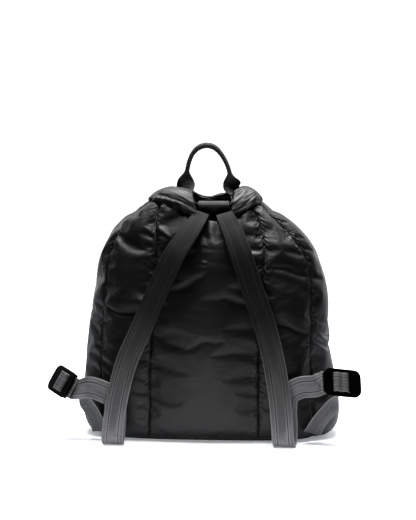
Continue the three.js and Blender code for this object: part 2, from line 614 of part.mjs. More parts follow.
// A band swept along a route. Each row of the route has a place, and the way its face looks.
// profile(share) gives the band's half width and half thickness along the route.
function bandGeometry(route, stations, profile) {
  const places = new THREE.CatmullRomCurve3(route.map((row) => row.place), false, "centripetal");
  const facing = route.map((row) => row.face.clone().normalize());
  const faces = new THREE.CatmullRomCurve3(facing, false, "centripetal");
  const rings = [];
  for (let i = 0; i <= stations; i += 1) {
    const t = i / stations;
    const place = places.getPoint(t);
    const heading = places.getTangent(t);
    const face = faces.getPoint(t);
    const side = face.clone().cross(heading).normalize();
    face.copy(heading).cross(side).normalize();
    const { half, thick } = profile(t);
    const edge = Math.min(thick, half / 2);
    const corner = (s, f) => place.clone().addScaledVector(side, s).addScaledVector(face, f);
    rings.push([
      corner(half, 0),
      corner(half - edge, thick),
      corner(-half + edge, thick),
      corner(-half, 0),
      corner(-half + edge, -thick),
      corner(half - edge, -thick),
    ]);
  }
  const flats = [0, stations].map((end) => {
    const side = rings[end][0].clone().sub(rings[end][3]).normalize();
    const face = rings[end][1].clone().sub(rings[end][5]).normalize();
    return { end, side, face };
  });
  const flatten = (p, end) => {
    const { side, face } = flats.find((flat) => flat.end === end);
    return new THREE.Vector2(p.dot(side), p.dot(face));
  };
  return sweptSolid(rings, flatten);
}

const placeOf = ({ across, out, up: rise }) =>
  new THREE.Vector3(across * halfWidth, -out * BODY_DEPTH, rise * BODY_HEIGHT);
const faceOf = ({ face }) => new THREE.Vector3(...face);
const routeOf = (rows) => rows.map((row) => ({ place: placeOf(row), face: faceOf(row) }));

// A buckle's own frame: +X along the webbing towards its outer end, +Y across it, +Z its face.
function buckleFrame({ across, out, up: rise, along, face }) {
  const x = new THREE.Vector3(...along).normalize();
  const y = new THREE.Vector3(...face).cross(x).normalize();
  const z = x.clone().cross(y);
  return new THREE.Matrix4().makeBasis(x, y, z).setPosition(placeOf({ across, out, up: rise }));
}

// Places along a buckle: where its slots start, its bars' middles and the rear bar.
const slotStarts = [0, 1, 2].map((i) => -BUCKLE_LENGTH / 2 + BUCKLE_END + i * (BUCKLE_SLOT + BUCKLE_BAR));
const firstBar = slotStarts[1] - BUCKLE_BAR / 2;
const secondBar = slotStarts[2] - BUCKLE_BAR / 2;
const rearBar = LOOP_BAR_PLACE - BUCKLE_LENGTH / 2;
const loopLift = BUCKLE_THICKNESS / 2 + WEB_GAP + STRAP_LOOP / 2;
const rearLift = loopLift + STRAP_LOOP / 2 + WEB_GAP + REAR_BAR / 2;

// The plate is an outline with round corners, cut through by the three slots.
function buckleGeometry() {
  const centreX = BUCKLE_LENGTH / 2 - BUCKLE_CORNER;
  const centreY = BUCKLE_WIDTH / 2 - BUCKLE_CORNER;
  const outline = [[1, -1], [1, 1], [-1, 1], [-1, -1]].flatMap(([sx, sy], corner) =>
    Array.from({ length: CORNER_FACETS + 1 }, (none, i) => {
      const turn = (Math.PI / 2) * (corner - 1 + i / CORNER_FACETS);
      const round = new THREE.Vector2(Math.cos(turn), Math.sin(turn)).multiplyScalar(BUCKLE_CORNER);
      return round.add(new THREE.Vector2(sx * centreX, sy * centreY));
    }),
  );
  const plate = new THREE.Shape(outline);
  slotStarts.forEach((start, place) => {
    const slotHalf = BUCKLE_WIDTH / 2 - BUCKLE_RAIL - BUCKLE_TAPER * place;
    const slot = [[0, -1], [0, 1], [1, 1], [1, -1]];
    const corners = slot.map(([far, s]) => new THREE.Vector2(start + far * BUCKLE_SLOT, s * slotHalf));
    plate.holes.push(new THREE.Path(corners));
  });
  const options = { depth: BUCKLE_THICKNESS, bevelEnabled: false };
  const top = new THREE.ExtrudeGeometry(plate, options).translate(0, 0, -BUCKLE_THICKNESS / 2);
  const width = BUCKLE_WIDTH - 2 * LUG_INSET;
  const bar = new THREE.BoxGeometry(REAR_BAR, width, REAR_BAR).translate(rearBar, 0, -rearLift);
  const lugs = [-1, 1].map((s) => {
    const lug = new THREE.BoxGeometry(REAR_BAR, LUG_THICKNESS, rearLift);
    return lug.translate(rearBar, (s * (width - LUG_THICKNESS)) / 2, -rearLift / 2);
  });
  return joined([top, bar, ...lugs]);
}

// Joins closed geometries that overlap into one.
function joined(geometries) {
  const solids = geometries.map((geometry) => {
    const bare = new THREE.BufferGeometry();
    bare.setAttribute("position", geometry.getAttribute("position"));
    bare.setIndex(geometry.index);
    const merged = mergeVertices(bare, 1e-4);
    return new wasm.Manifold(
      new wasm.Mesh({
        numProp: 3,
        vertProperties: merged.getAttribute("position").array,
        triVerts: new Uint32Array(merged.index.array),
      }),
    );
  });
  const { vertProperties, triVerts } = wasm.Manifold.union(solids).getMesh();
  const geometry = new THREE.BufferGeometry();
  geometry.setAttribute("position", new THREE.BufferAttribute(vertProperties, 3));
  geometry.setIndex(new THREE.BufferAttribute(triVerts, 1));
  return geometry;
}

// Rows of a route given in a buckle's own frame.
function inBuckle(frame, rows) {
  const turn = new THREE.Matrix3().setFromMatrix4(frame);
  return rows.map(([x, z, faceX, faceZ]) => ({
    place: new THREE.Vector3(x, 0, z).applyMatrix4(frame),
    face: new THREE.Vector3(faceX, 0, faceZ).applyMatrix3(turn),
  }));
}

// The strap ends in a loop round the buckle's rear bar, stitched back on the strap's front.
function strapGeometry(rows, buckle) {
  const bend = REAR_BAR / 2 + LOOP_GAP + STRAP_LOOP / 2;
  const wrap = BAR_LOOP_LINE.map(({ along, lift, faceAlong, faceUp }) => {
    return [rearBar + along * bend, -rearLift + lift * bend, faceAlong, faceUp];
  });
  const route = [...routeOf(rows), ...inBuckle(buckleFrame(buckle), wrap)];
  const loopFrom = (rows.length - 1) / (route.length - 1);
  return bandGeometry(route, STRAP_STATIONS, (t) => {
    const looped = THREE.MathUtils.smoothstep(t - loopFrom, ...STRAP_THINNING);
    const wide = THREE.MathUtils.smoothstep(t, ...STRAP_WIDENING);
    return {
      half: THREE.MathUtils.lerp(STRAP_TOP, STRAP_WIDTH, wide) / 2,
      thick: THREE.MathUtils.lerp(STRAP_THICKNESS, STRAP_LOOP, looped) / 2,
    };
  });
}

// The adjusting webbing climbs to the outer slot, lies over both bars and drops out behind.
function adjusterGeometry(rows, buckle) {
  const thin = WEB_THICKNESS / 2;
  const lift = BUCKLE_THICKNESS / 2 + WEB_GAP + thin;
  const outer = slotStarts[2] + BUCKLE_SLOT / 2;
  const inner = slotStarts[0] + BUCKLE_SLOT / 2;
  const [shoulder, shoulderLift] = WEB_SHOULDER;
  const thread = [
    [outer - WEB_ENTRY_LEAN, -lift - WEB_ENTRY, 1, -0.3],
    [outer, -lift, 1, -0.1],
    [outer, 0, 1, 0.2],
    [outer - shoulder, lift * shoulderLift, 1, 1],
    [secondBar, lift + WEB_RIDGE, 0, 1],
    [(firstBar + secondBar) / 2, lift - WEB_SAG, 0, 1],
    [firstBar, lift + WEB_RIDGE, -0.1, 1],
    [inner + shoulder, lift * shoulderLift, -1, 1],
    [inner, 0, -1, 0],
    [inner, -lift, -1, 0],
    [inner + WEB_TAIL_LEAN, -lift - WEB_TAIL, -1, -0.1],
  ];
  const route = [...routeOf(rows), ...inBuckle(buckleFrame(buckle), thread)];
  return bandGeometry(route, WEB_STATIONS, () => ({ half: WEB_WIDTH / 2, thick: thin }));
}

// The haul loop: flat webbing sewn inside both lobes, folded to a round over the top.
function haulLoopGeometry() {
  const off = -CASING_THICKNESS / 2 - LOOP_INSET - LOOP_THICKNESS / 2;
  const feet = [1 - LOOP_FOOT, LOOP_FOOT].map((station) => {
    const face = casingFrame(station).outward;
    return [FOOT_LOW, FOOT_HIGH].map((along) => ({ place: casingPoint(station, along, off), face }));
  });
  const rimHeight = BODY_HEIGHT + CASING_RISE;
  const legY = (feet[0][1].place.y + feet[1][1].place.y) / 2;
  const line = LOOP_LINE.map(({ across, rise }) => ({
    place: new THREE.Vector3((across * LOOP_SPAN) / 2, legY, rimHeight + rise * LOOP_RISE),
    face: new THREE.Vector3(0, -1, 0),
  }));
  const route = [...feet[0], ...line, ...feet[1].reverse()];
  return bandGeometry(route, LOOP_STATIONS, (t) => {
    const folded = THREE.MathUtils.smoothstep(Math.min(t, 1 - t), LOOP_FLAT, LOOP_FOLDED);
    return {
      half: THREE.MathUtils.lerp(LOOP_WIDTH, LOOP_ROUND, folded) / 2,
      thick: THREE.MathUtils.lerp(LOOP_THICKNESS, LOOP_ROUND, folded) / 2,
    };
  });
}

function material(colour, roughness, metalness = 0) {
  return new THREE.MeshStandardMaterial({ color: colour, roughness, metalness });
}

const shell = material(COLOURS.shell, 0.45);
const webbing = material(COLOURS.webbing, 0.8);
const cord = material(COLOURS.cord, 0.7);
const plastic = material(COLOURS.buckle, 0.4);

const backpack = new THREE.Group();

function add(name, geometry, surface) {
  const mesh = new THREE.Mesh(geometry, surface);
  mesh.name = name;
  backpack.add(mesh);
  return mesh;
}

PANELS.forEach((panel) => add(panel.name, panelGeometry(panel), shell));
add("base_panel", baseGeometry(), shell);
add("drawstring_casing", casingGeometry(), shell);
add("drawcord", drawcordGeometry(), cord);
add("cord_tunnel", tunnelGeometry(), webbing);
add("haul_loop", haulLoopGeometry(), webbing);

[
  { word: "left", strap: LEFT_STRAP, adjuster: LEFT_ADJUSTER, buckle: LEFT_BUCKLE },
  { word: "right", strap: RIGHT_STRAP, adjuster: RIGHT_ADJUSTER, buckle: RIGHT_BUCKLE },
].forEach(({ word, strap, adjuster, buckle }) => {
  add(`${word}_strap`, strapGeometry(strap, buckle), webbing);
  add(`${word}_adjuster`, adjusterGeometry(adjuster, buckle), webbing);
  add(`${word}_buckle`, buckleGeometry(), plastic).applyMatrix4(buckleFrame(buckle));
});

export default backpack;
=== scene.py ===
"""A quilted puffer backpack in black nylon, seen from the side that carries its straps.

The bag's pieces come in the order in which such a bag is sewn: the panels, the base, the casing
round the mouth with its drawcord, then the straps, buckles and webbings. Sizes are millimetres in
the bag's own frame, and each mesh is written in metres.
"""
import math

import bmesh
import bpy
import numpy as np
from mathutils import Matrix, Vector


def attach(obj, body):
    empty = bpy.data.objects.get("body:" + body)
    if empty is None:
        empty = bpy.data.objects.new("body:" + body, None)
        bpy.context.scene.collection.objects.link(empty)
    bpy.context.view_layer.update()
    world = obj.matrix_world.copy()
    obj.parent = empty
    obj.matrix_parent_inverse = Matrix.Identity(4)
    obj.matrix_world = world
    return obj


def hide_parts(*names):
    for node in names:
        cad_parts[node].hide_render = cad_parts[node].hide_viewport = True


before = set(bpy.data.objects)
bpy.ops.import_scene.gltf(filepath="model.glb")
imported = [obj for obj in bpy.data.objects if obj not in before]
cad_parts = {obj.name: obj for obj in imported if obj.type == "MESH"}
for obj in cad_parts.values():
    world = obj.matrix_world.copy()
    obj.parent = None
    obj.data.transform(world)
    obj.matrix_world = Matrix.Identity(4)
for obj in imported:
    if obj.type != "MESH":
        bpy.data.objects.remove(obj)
scene = bpy.context.scene
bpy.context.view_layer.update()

# ---- Shell panels ----
# Eight padded panels of thin satin nylon over light filling, sewn together along upright seams.
# Each is cut longer and wider than its seams, so that it puffs out and puckers where it is sewn.
BODY_WIDTH = 356.0
BODY_DEPTH = 160.0
BODY_HEIGHT = 331.0
# up, left, right, near, far, square, inner, outer, lean: shares of the sizes above
SECTIONS = np.array([
    [0.012, 0.83, 0.855, 0.84, 0.85, 3.4, 0.51, 0.9, -0.01],
    [0.028, 0.91, 0.945, 0.92, 0.94, 3.2, 0.46, 0.87, -0.01],
    [0.07, 0.955, 1.005, 0.97, 1.0, 3.1, 0.435, 0.84, -0.01],
    [0.16, 0.965, 1.0, 0.98, 1.02, 3.0, 0.43, 0.835, -0.005],
    [0.29, 0.932, 0.935, 0.97, 1.0, 3.0, 0.455, 0.88, 0.0],
    [0.42, 0.91, 0.913, 0.95, 0.98, 3.0, 0.46, 0.895, 0.01],
    [0.55, 0.885, 0.905, 0.91, 0.94, 2.9, 0.465, 0.905, 0.02],
    [0.67, 0.855, 0.88, 0.85, 0.89, 2.8, 0.48, 0.92, 0.03],
    [0.77, 0.825, 0.825, 0.78, 0.83, 2.6, 0.51, 0.925, 0.04],
    [0.85, 0.765, 0.725, 0.71, 0.76, 2.4, 0.56, 0.925, 0.05],
    [0.91, 0.68, 0.6, 0.645, 0.7, 2.2, 0.64, 0.935, 0.045],
    [0.955, 0.575, 0.49, 0.59, 0.645, 2.1, 0.73, 0.95, 0.035],
    [1.0, 0.475, 0.41, 0.54, 0.6, 2.0, 0.79, 0.965, 0.02],
])
LAST = len(SECTIONS) - 1
NEAR_DIP, FAR_DIP, DIP_SHARPNESS, DIP_START = 27.0, 12.0, 5, 0.62
MOUTH_WIDTH = 95.0
TUNNEL_CENTRE = 10.0
NEAR_ANGLE = -math.pi / 2 + math.asin(TUNNEL_CENTRE / (MOUTH_WIDTH / 2))


def smoothstep(x, low, high):
    t = np.clip((np.asarray(x, float) - low) / (high - low), 0, 1)
    return t * t * (3 - 2 * t)


def catmull(rows, place):
    """Smooth values through a table's rows, at row numbers that may lie between them."""
    rows = np.asarray(rows, float)
    padded = np.vstack([2 * rows[0] - rows[1], rows, 2 * rows[-1] - rows[-2]])
    place = np.clip(np.asarray(place, float), 0, len(rows) - 1)
    i = np.minimum(place.astype(int), len(rows) - 2)
    t = (place - i)[..., None]
    a, b, c, d = padded[i], padded[i + 1], padded[i + 2], padded[i + 3]
    return 0.5 * (2 * b + (c - a) * t + (2 * a - 5 * b + 4 * c - d) * t ** 2
                  + (3 * b - a - 3 * c + d) * t ** 3)


def dip_share(angle, centre):
    return np.maximum(0, np.cos(angle - centre)) ** DIP_SHARPNESS


def wall_point(row, angle):
    """The stitched surface: row 0 is the foot and 1 the casing seam, angle 0 is +X."""
    row, angle = np.broadcast_arrays(np.asarray(row, float), np.asarray(angle, float))
    s = catmull(SECTIONS, row * LAST)
    up, left, right, near, far, square = [s[..., k] for k in range(6)]
    c, d = np.cos(angle), np.sin(angle)
    power = 2 / square
    x = BODY_WIDTH / 2 * np.where(c < 0, left, right) * np.sign(c) * np.abs(c) ** power
    y = BODY_DEPTH / 2 * np.where(d < 0, near, far) * np.sign(d) * np.abs(d) ** power
    dip = NEAR_DIP * dip_share(angle, NEAR_ANGLE) + FAR_DIP * dip_share(angle, math.pi / 2)
    return np.stack([x, y, BODY_HEIGHT * up - dip * smoothstep(up, DIP_START, 1)], -1)


def unit(v):
    return v / np.maximum(np.linalg.norm(v, axis=-1, keepdims=True), 1e-9)


def distance_gone(points, axis=0):
    """How far along a line, or along each line of a grid, its points lie."""
    steps = np.diff(points, axis=axis, prepend=np.take(points, [0], axis))
    return np.cumsum(np.linalg.norm(steps, axis=-1), axis)


def even_turns(count):
    return np.linspace(0, 2 * math.pi, count, endpoint=False)


def wall_normal(row, angle, step=0.012):
    low, high = np.maximum(0, row - step), np.minimum(1, row + step)
    upward = wall_point(high, angle) - wall_point(low, angle)
    sideways = wall_point(row, angle + step) - wall_point(row, angle - step)
    return unit(np.cross(sideways, upward))


def seam_angles(row):
    """The eight seams' angles at one row, going round from the strap side's right inner seam."""
    s = catmull(SECTIONS, row * LAST)
    left, right, square, inner, outer, lean = s[1], s[2], s[5], s[6], s[7], s[8]

    def turn(share):
        return math.acos(min(max(share, -0.995), 0.995) ** (square / 2))

    return np.array([
        -turn(inner + lean / right), -turn(outer), turn(outer), turn(inner),
        math.pi - turn(inner), math.pi - turn(outer), math.pi + turn(outer),
        math.pi + turn(inner - lean / left), 2 * math.pi - turn(inner + lean / right),
    ])


PANELS = ["back_right_panel", "right_gusset", "front_right_panel", "front_centre_panel",
          "front_left_panel", "left_gusset", "back_left_panel", "back_centre_panel"]
CELLS = [24, 36, 22, 42, 22, 36, 24, 44]  # fabric cells across each panel
ROWS = 124  # fabric cells from foot to casing
starts = np.concatenate([[0], np.cumsum(CELLS)])
around = int(starts[-1])


def panel_grid(k, points):
    """One panel's points, both of its seams included."""
    return points[:, np.r_[starts[k]:starts[k + 1], starts[k + 1] % around]]


# Rows are spaced by the length of the wall, measured up the middle of the strap side.
fine = np.linspace(0, 1, 400)
climb = distance_gone(wall_point(fine, np.full(400, -0.9)))
row_of = np.interp(np.linspace(0, climb[-1], ROWS + 1), climb, fine)

ring = np.zeros((ROWS + 1, around))  # each fabric point's angle
for i, row in enumerate(row_of):
    seams = seam_angles(row)
    for k, cells in enumerate(CELLS):
        a = np.linspace(seams[k], seams[k + 1], 65)
        reach = distance_gone(wall_point(row, a))
        ring[i, starts[k]:starts[k + 1]] = np.interp(
            np.arange(cells) / cells * reach[-1], reach, a)
rows_grid = np.repeat(row_of[:, None], around, 1)
skin_base = wall_point(rows_grid, ring)
skin_normal = wall_normal(rows_grid, ring)
height_up = catmull(SECTIONS, row_of * LAST)[:, 0]  # share of the body's height, per row

panel_of = np.repeat(np.arange(8), CELLS)
across = np.concatenate([np.arange(c) / c for c in CELLS])  # 0 at one seam, 1 at the next
panel_width = np.zeros((ROWS + 1, 8))
for k in range(8):
    panel_width[:, k] = np.linalg.norm(np.diff(panel_grid(k, skin_base), axis=1), axis=2).sum(1)
width_here = panel_width[:, panel_of]
from_seam = np.minimum(across, 1 - across)[None, :] * width_here  # millimetres to the nearest seam

# The skin before it is inflated: each panel swells between its seams, and carries the beginnings
# of the puckers along the seams, of the gathers under the casing and of the big folds.
PUFF = 6.0
# each kind of fold: how long its bumps are, how high, and how far from a seam it is full
PUCKERS, GATHERS, FANS = (9.0, 1.3, 7), (9.0, 1.5, 8), (19.0, 2.0, 12)
BROAD_FOLDS, FINE_FOLDS = (22.0, 1.5, 16), (8.5, 0.75, 14)
GUSSET_FOLD = 1.1  # the broad folds' height on the side panels


def waves(length, cell, seed):
    """A smooth random line of values near -1 to 1, whose bumps are about cell millimetres long."""
    knots = np.random.default_rng(seed).uniform(-1, 1, int(400 / cell) + 8)
    return catmull(knots[:, None], np.asarray(length) / cell + 1)[..., 0] * 1.3


tall = (1 - np.abs(2 * row_of - 1) ** 7) ** 0.6
swell = (1 - np.abs(2 * across - 1) ** 2) ** 0.6
rise = climb[-1] * np.linspace(0, 1, ROWS + 1)[:, None]
gathered = smoothstep(height_up, 0.8, 0.97)[:, None]
shoulders = smoothstep(height_up, 0.5, 0.8)[:, None]
drawn = 0.2 + 0.8 * smoothstep(height_up, 0.3, 0.6)[:, None]  # the lower third hangs smooth

lift = PUFF * swell[None, :] * tall[:, None]
pucker = np.zeros((ROWS + 1, around))
for k in range(8):
    cols = slice(starts[k], starts[k + 1])
    d = from_seam[:, cols]
    right_half = (across[cols] > 0.5)[None, :]
    length, height, full = PUCKERS
    for right, slope in ((False, 0.35), (True, -0.3)):
        crest = waves(rise + slope * d, length, 31 * k + right)
        strength = 0.55 + 0.45 * waves(rise, 46.0, 77 * k + 5 * right)
        here = height * crest * strength * (d / full) * np.exp(1 - d / full - (d / 34) ** 2)
        pucker[:, cols] += np.where(right_half == right, here, 0)
    # gathers run down from the casing and fade on the shoulders
    wide = across[cols][None, :] * width_here[:, cols]
    length, height, full = GATHERS
    gather = waves(wide + 0.06 * rise, length, 11 * k + 3)
    pucker[:, cols] += height * gathered * gather * np.minimum(1, d / full)
    # longer, softer ones fan out from the mouth towards the shoulders
    length, height, full = FANS
    fan = waves(wide + 0.22 * np.sign(skin_base[:, cols, 0]) * rise + 60, length, 13 * k + 7)
    pucker[:, cols] += height * shoulders * fan * np.minimum(1, d / full)
    # broad soft folds lie across the panel, deepest at the middle of its height
    length, height, full = BROAD_FOLDS
    wander = 0.12 * (wide - wide.mean()) + 9 * waves(wide, 40, k + 60)
    broad = waves(rise + wander, length, 91 * k + 2)
    middle = np.exp(-((height_up[:, None] - 0.56) / 0.13) ** 2)
    deep = GUSSET_FOLD if "gusset" in PANELS[k] else height + height * middle
    pucker[:, cols] += deep * broad * np.minimum(1, d / full) * (1 - 0.7 * gathered) * drawn
    # and fine ones come and go beside them
    length, height, full = FINE_FOLDS
    fine_fold = waves(rise + 0.1 * wide + 7 * waves(wide, 32, k + 80), length, 17 * k + 9)
    patches = np.maximum(0, 0.4 + waves(rise + 0.5 * wide, 38.0, 19 * k + 4))
    pucker[:, cols] += height * fine_fold * patches * np.minimum(1, d / full) * (1 - gathered) * drawn
skin = skin_base + skin_normal * (lift + pucker)[..., None]
SEAM_SINK = 0.7
seam_cols = starts[:-1]
skin[:, seam_cols] = (skin_base - SEAM_SINK * skin_normal)[:, seam_cols]


def grid_faces(rows, cols, first=0):
    """Quads of a grid of rows by cols points."""
    i, j = np.meshgrid(np.arange(rows - 1), np.arange(cols - 1), indexing="ij")
    a = (first + i * cols + j).ravel()
    return np.stack([a, a + 1, a + cols + 1, a + cols], 1)


def mesh_of(name, points, faces):
    mesh = bpy.data.meshes.new(name)
    mesh.from_pydata((np.asarray(points) * 0.001).tolist(), [], [list(map(int, f)) for f in faces])
    mesh.update()
    return mesh


def in_scene(name, data):
    """A new object in the scene."""
    made = bpy.data.objects.new(name, data)
    scene.collection.objects.link(made)
    return made


# Each panel is pinned along its seams and blown up. Its fabric grows as it is blown, a lot along
# the seams and a little between them, which makes the puckers and the soft folds.
HOLD = 0.03  # how strongly the filling keeps the skin where it is
FULLER_BETWEEN, FULLER_AT_SEAMS = 0.012, 0.1
SEAM_REACH = 11  # the fullness of the seams fades over this distance
FULLNESS_LEVELS = 20
CLOTH_FRAMES = 24
FARTHEST = 9.0  # no point of the skin moves further than this
cloths = []
for k, name in enumerate(PANELS):
    grid = panel_grid(k, skin)
    rows, cols = grid.shape[:2]
    cut = mesh_of("cut_" + name, grid.reshape(-1, 3), grid_faces(rows, cols))
    cloth = in_scene("cut_" + name, cut)
    index = np.arange(rows * cols).reshape(rows, cols)
    held = np.unique(np.concatenate([index[:, 0], index[:, -1], index[0], index[-1]]))
    pins = cloth.vertex_groups.new(name="seams")
    pins.add(index.ravel().tolist(), HOLD, "REPLACE")
    pins.add(held.tolist(), 1.0, "REPLACE")
    full = cloth.vertex_groups.new(name="fullness")
    near = np.exp(-(panel_grid(k, from_seam) / SEAM_REACH) ** 2) * (0.4 + 0.6 * drawn)
    near = np.maximum(near, 0.06 * smoothstep(height_up, 0.74, 0.97)[:, None])
    levels = np.round(near * FULLNESS_LEVELS).astype(int).ravel()
    for level in range(FULLNESS_LEVELS + 1):
        full.add(np.flatnonzero(levels == level).tolist(), level / FULLNESS_LEVELS, "REPLACE")
    fabric = cloth.modifiers.new("cloth", "CLOTH")
    s = fabric.settings
    s.quality, s.mass, s.air_damping = 6, 0.25, 2.0
    s.tension_stiffness = s.compression_stiffness = 15
    s.shear_stiffness = 6
    s.bending_stiffness = 2.6
    s.tension_damping = s.compression_damping = 8
    s.bending_damping = 0.5
    s.vertex_group_mass, s.pin_stiffness = "seams", 1.0
    s.vertex_group_shrink = "fullness"
    s.shrink_min, s.shrink_max = -FULLER_BETWEEN, -FULLER_AT_SEAMS
    s.use_pressure, s.uniform_pressure_force = True, 2.6
    s.effector_weights.gravity = 0
    fabric.collision_settings.use_collision = False
    fabric.collision_settings.use_self_collision = False
    cloths.append((k, cloth, grid))

for number in range(1, CLOTH_FRAMES + 1):
    scene.frame_set(number)
depsgraph = bpy.context.evaluated_depsgraph_get()
panels = {}
for k, cloth, grid in cloths:
    made = cloth.evaluated_get(depsgraph)
    blown = np.zeros(len(made.data.vertices) * 3, np.float32)
    made.data.vertices.foreach_get("co", blown)
    moved = blown.reshape(grid.shape) * 1000 - grid
    far = np.linalg.norm(moved, axis=-1, keepdims=True)
    panels[k] = grid + moved * np.minimum(1, FARTHEST / np.maximum(far, 1e-6))
for _, cloth, _ in cloths:
    bpy.data.objects.remove(cloth)
scene.frame_set(1)


class Value:
    """A node's output that can be used in Python arithmetic, each step a Math node."""

    def __init__(self, nodes, socket):
        self.nodes, self.socket = nodes, socket

    def step(self, operation, *terms):
        return self.nodes.node("Math", 0, {"operation": operation}, dict(enumerate(terms)))

    def __add__(self, other):
        return self.step("ADD", self, other)

    __radd__ = __add__

    def __mul__(self, other):
        return self.step("MULTIPLY", self, other)

    __rmul__ = __mul__

    def __sub__(self, other):
        return self.step("SUBTRACT", self, other)

    def __rsub__(self, other):
        return self.step("SUBTRACT", other, self)

    def sine(self):
        return self.step("SINE", self)

    def size(self):
        return self.step("ABSOLUTE", self)

    def share(self, low, high):
        """0 below low, 1 above high, straight between them."""
        ends = {"Value": self, "From Min": low, "From Max": high}
        return self.nodes.node("MapRange", "Result", {}, ends)


class Nodes:
    """The nodes of one material, or of the studio round the bag."""

    def __init__(self, tree):
        self.tree = tree

    def node(self, kind, output, settings, sockets):
        """Any node: its type, the output wanted, its settings, and its sockets by name or number."""
        node = self.tree.nodes.new("ShaderNode" + kind)
        for key, value in settings.items():
            setattr(node, key, value)
        for key, value in sockets.items():
            self.feed(node.inputs[key], value)
        return Value(self, node.outputs[output])

    def feed(self, socket, value):
        if isinstance(value, Value):
            self.tree.links.new(value.socket, socket)
        else:
            socket.default_value = value

    def parts(self, vector, count):
        """The first two or three parts of a vector."""
        return [self.node("SeparateXYZ", n, {}, {0: vector}) for n in range(count)]


class Finish(Nodes):
    """One material: its constants sit on the shader, and what varies comes through nodes."""

    def __init__(self, name, **constants):
        self.material = bpy.data.materials.new(name)
        self.material.use_nodes = True
        super().__init__(self.material.node_tree)
        self.shader = self.tree.nodes["Principled BSDF"]
        for socket, value in constants.items():
            self.shader.inputs[socket.replace("_", " ")].default_value = value

    def varies(self, socket, value):
        self.feed(self.shader.inputs[socket], value)

    def cloth_place(self):
        """The place on the fabric in millimetres, from the UV map, and its two parts."""
        place = self.node("UVMap", "UV", {"uv_map": "fabric"}, {})
        return place, *self.parts(place, 2)

    def noise(self, place, scale, detail=2.0, stretch=(1, 1, 1)):
        where = self.node("Mapping", "Vector", {}, {"Vector": place, "Scale": stretch})
        return self.node("TexNoise", "Fac", {}, {"Vector": where, "Scale": scale, "Detail": detail})

    def blend(self, factor, a, b):
        return self.node("Mix", 2, {"data_type": "RGBA"}, {0: factor, 6: (*a, 1), 7: (*b, 1)})

    def relief(self, height, depth, under=None):
        """Bumps of the given height, in metres, on top of any relief made before."""
        sockets = {"Height": height, "Distance": depth, "Strength": 1.0}
        if under is not None:
            sockets["Normal"] = under
        return self.node("Bump", "Normal", {}, sockets)


# Satin nylon taffeta: nearly black, a broad soft shine, fine weave and small creases.
nylon = Finish("black_satin_nylon", Specular_IOR_Level=0.5)
place, weft, warp = nylon.cloth_place()
patch = nylon.noise(place, 0.035, 3.0)
nylon.varies("Base Color", nylon.blend(patch, (0.006, 0.0062, 0.0068), (0.0095, 0.0098, 0.0105)))
nylon.varies("Roughness", 0.45 + 0.14 * patch)
crease = nylon.noise(place, 0.1, 3.0, (0.7, 1.5, 1.0))
weave = (weft * 7.2).sine() * (warp * 7.2).sine()
away = nylon.node("Attribute", "Fac", {"attribute_name": "from_seam"}, {})
fine_puckers = nylon.noise(place, 0.22, 1.0, (0.16, 1.0, 1.0))
near_seam = 1.0 - away.share(0.0, 15.0)
soft = nylon.relief(crease, 0.0004, nylon.relief(fine_puckers * near_seam * near_seam, 0.0035))
nylon.varies("Normal", nylon.relief(weave, 0.00003, soft))


def make_piece(name, points, faces, finish, uv=None, smooth=True):
    """A mesh piece in the bag's frame, that rides on the bag. uv holds the place on the fabric of
    each point, or of the outer side's points where an inner side follows with as many."""
    mesh = mesh_of(name, points, faces)
    if uv is not None:
        layer = mesh.uv_layers.new(name="fabric")
        corner = np.zeros(len(mesh.loops), int)
        mesh.loops.foreach_get("vertex_index", corner)
        layer.data.foreach_set("uv", np.resize(uv, (len(points), 2)).astype(np.float32)[corner].ravel())
    mesh.polygons.foreach_set("use_smooth", [smooth] * len(mesh.polygons))
    mesh.materials.append(finish.material)
    piece = in_scene(name, mesh)
    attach(piece, "root")
    return piece


def fabric_uv(across, along):
    """The places on the fabric of a grid of points."""
    return np.stack(np.broadcast_arrays(across, along), -1).reshape(-1, 2)


def denser(grid):
    """A grid with twice as many cells each way, smooth between the old points."""
    for _ in range(2):
        rows, cols, depth = grid.shape
        grid = catmull(grid.reshape(rows, -1), np.linspace(0, rows - 1, 2 * rows - 1))
        grid = grid.reshape(-1, cols, depth).transpose(1, 0, 2)
    return grid


LINING_PUFF, SEAM_THICKNESS, PANEL_FILL = 3.0, 2.6, 0.6
UV_STEP = 200  # keeps each panel's weave and creases its own
for k, name in enumerate(PANELS):
    outer = denser(panels[k])
    outer_rows, outer_cols = outer.shape[:2]
    inset = SEAM_THICKNESS + LINING_PUFF * swell[None, :, None] * tall[:, None, None]
    lining = panel_grid(k, skin_base - skin_normal * inset)
    lining[0] = panel_grid(k, skin_base)[0] + [0, 0, SEAM_THICKNESS]
    lining = denser(lining)
    n = outer_rows * outer_cols
    index = np.arange(n).reshape(outer_rows, outer_cols)
    front = grid_faces(outer_rows, outer_cols)
    faces = [front, front[:, ::-1] + n]
    for edge in (index[0], index[:, -1], index[-1][::-1], index[:, 0][::-1]):
        faces.append(np.stack([edge[1:], edge[:-1], edge[:-1] + n, edge[1:] + n], 1))
    uv = fabric_uv(distance_gone(outer, 1) + UV_STEP * k, distance_gone(outer))
    piece = make_piece("padded_" + name, np.vstack([outer.reshape(-1, 3), lining.reshape(-1, 3)]),
                       np.concatenate(faces), nylon, uv)
    distance = denser(panel_grid(k, from_seam)[..., None]).ravel()
    layer = piece.data.attributes.new("from_seam", "FLOAT", "POINT")
    layer.data.foreach_set("value", np.concatenate([distance, distance]).astype(np.float32))
    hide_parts(name)

# ---- Base ----
# A flat padded bottom of the same nylon, on which the bag stands. Its rounded edge is stitched to
# the foot of the eight panels.
BASE_POINTS, BASE_FILL = 160, 0.8


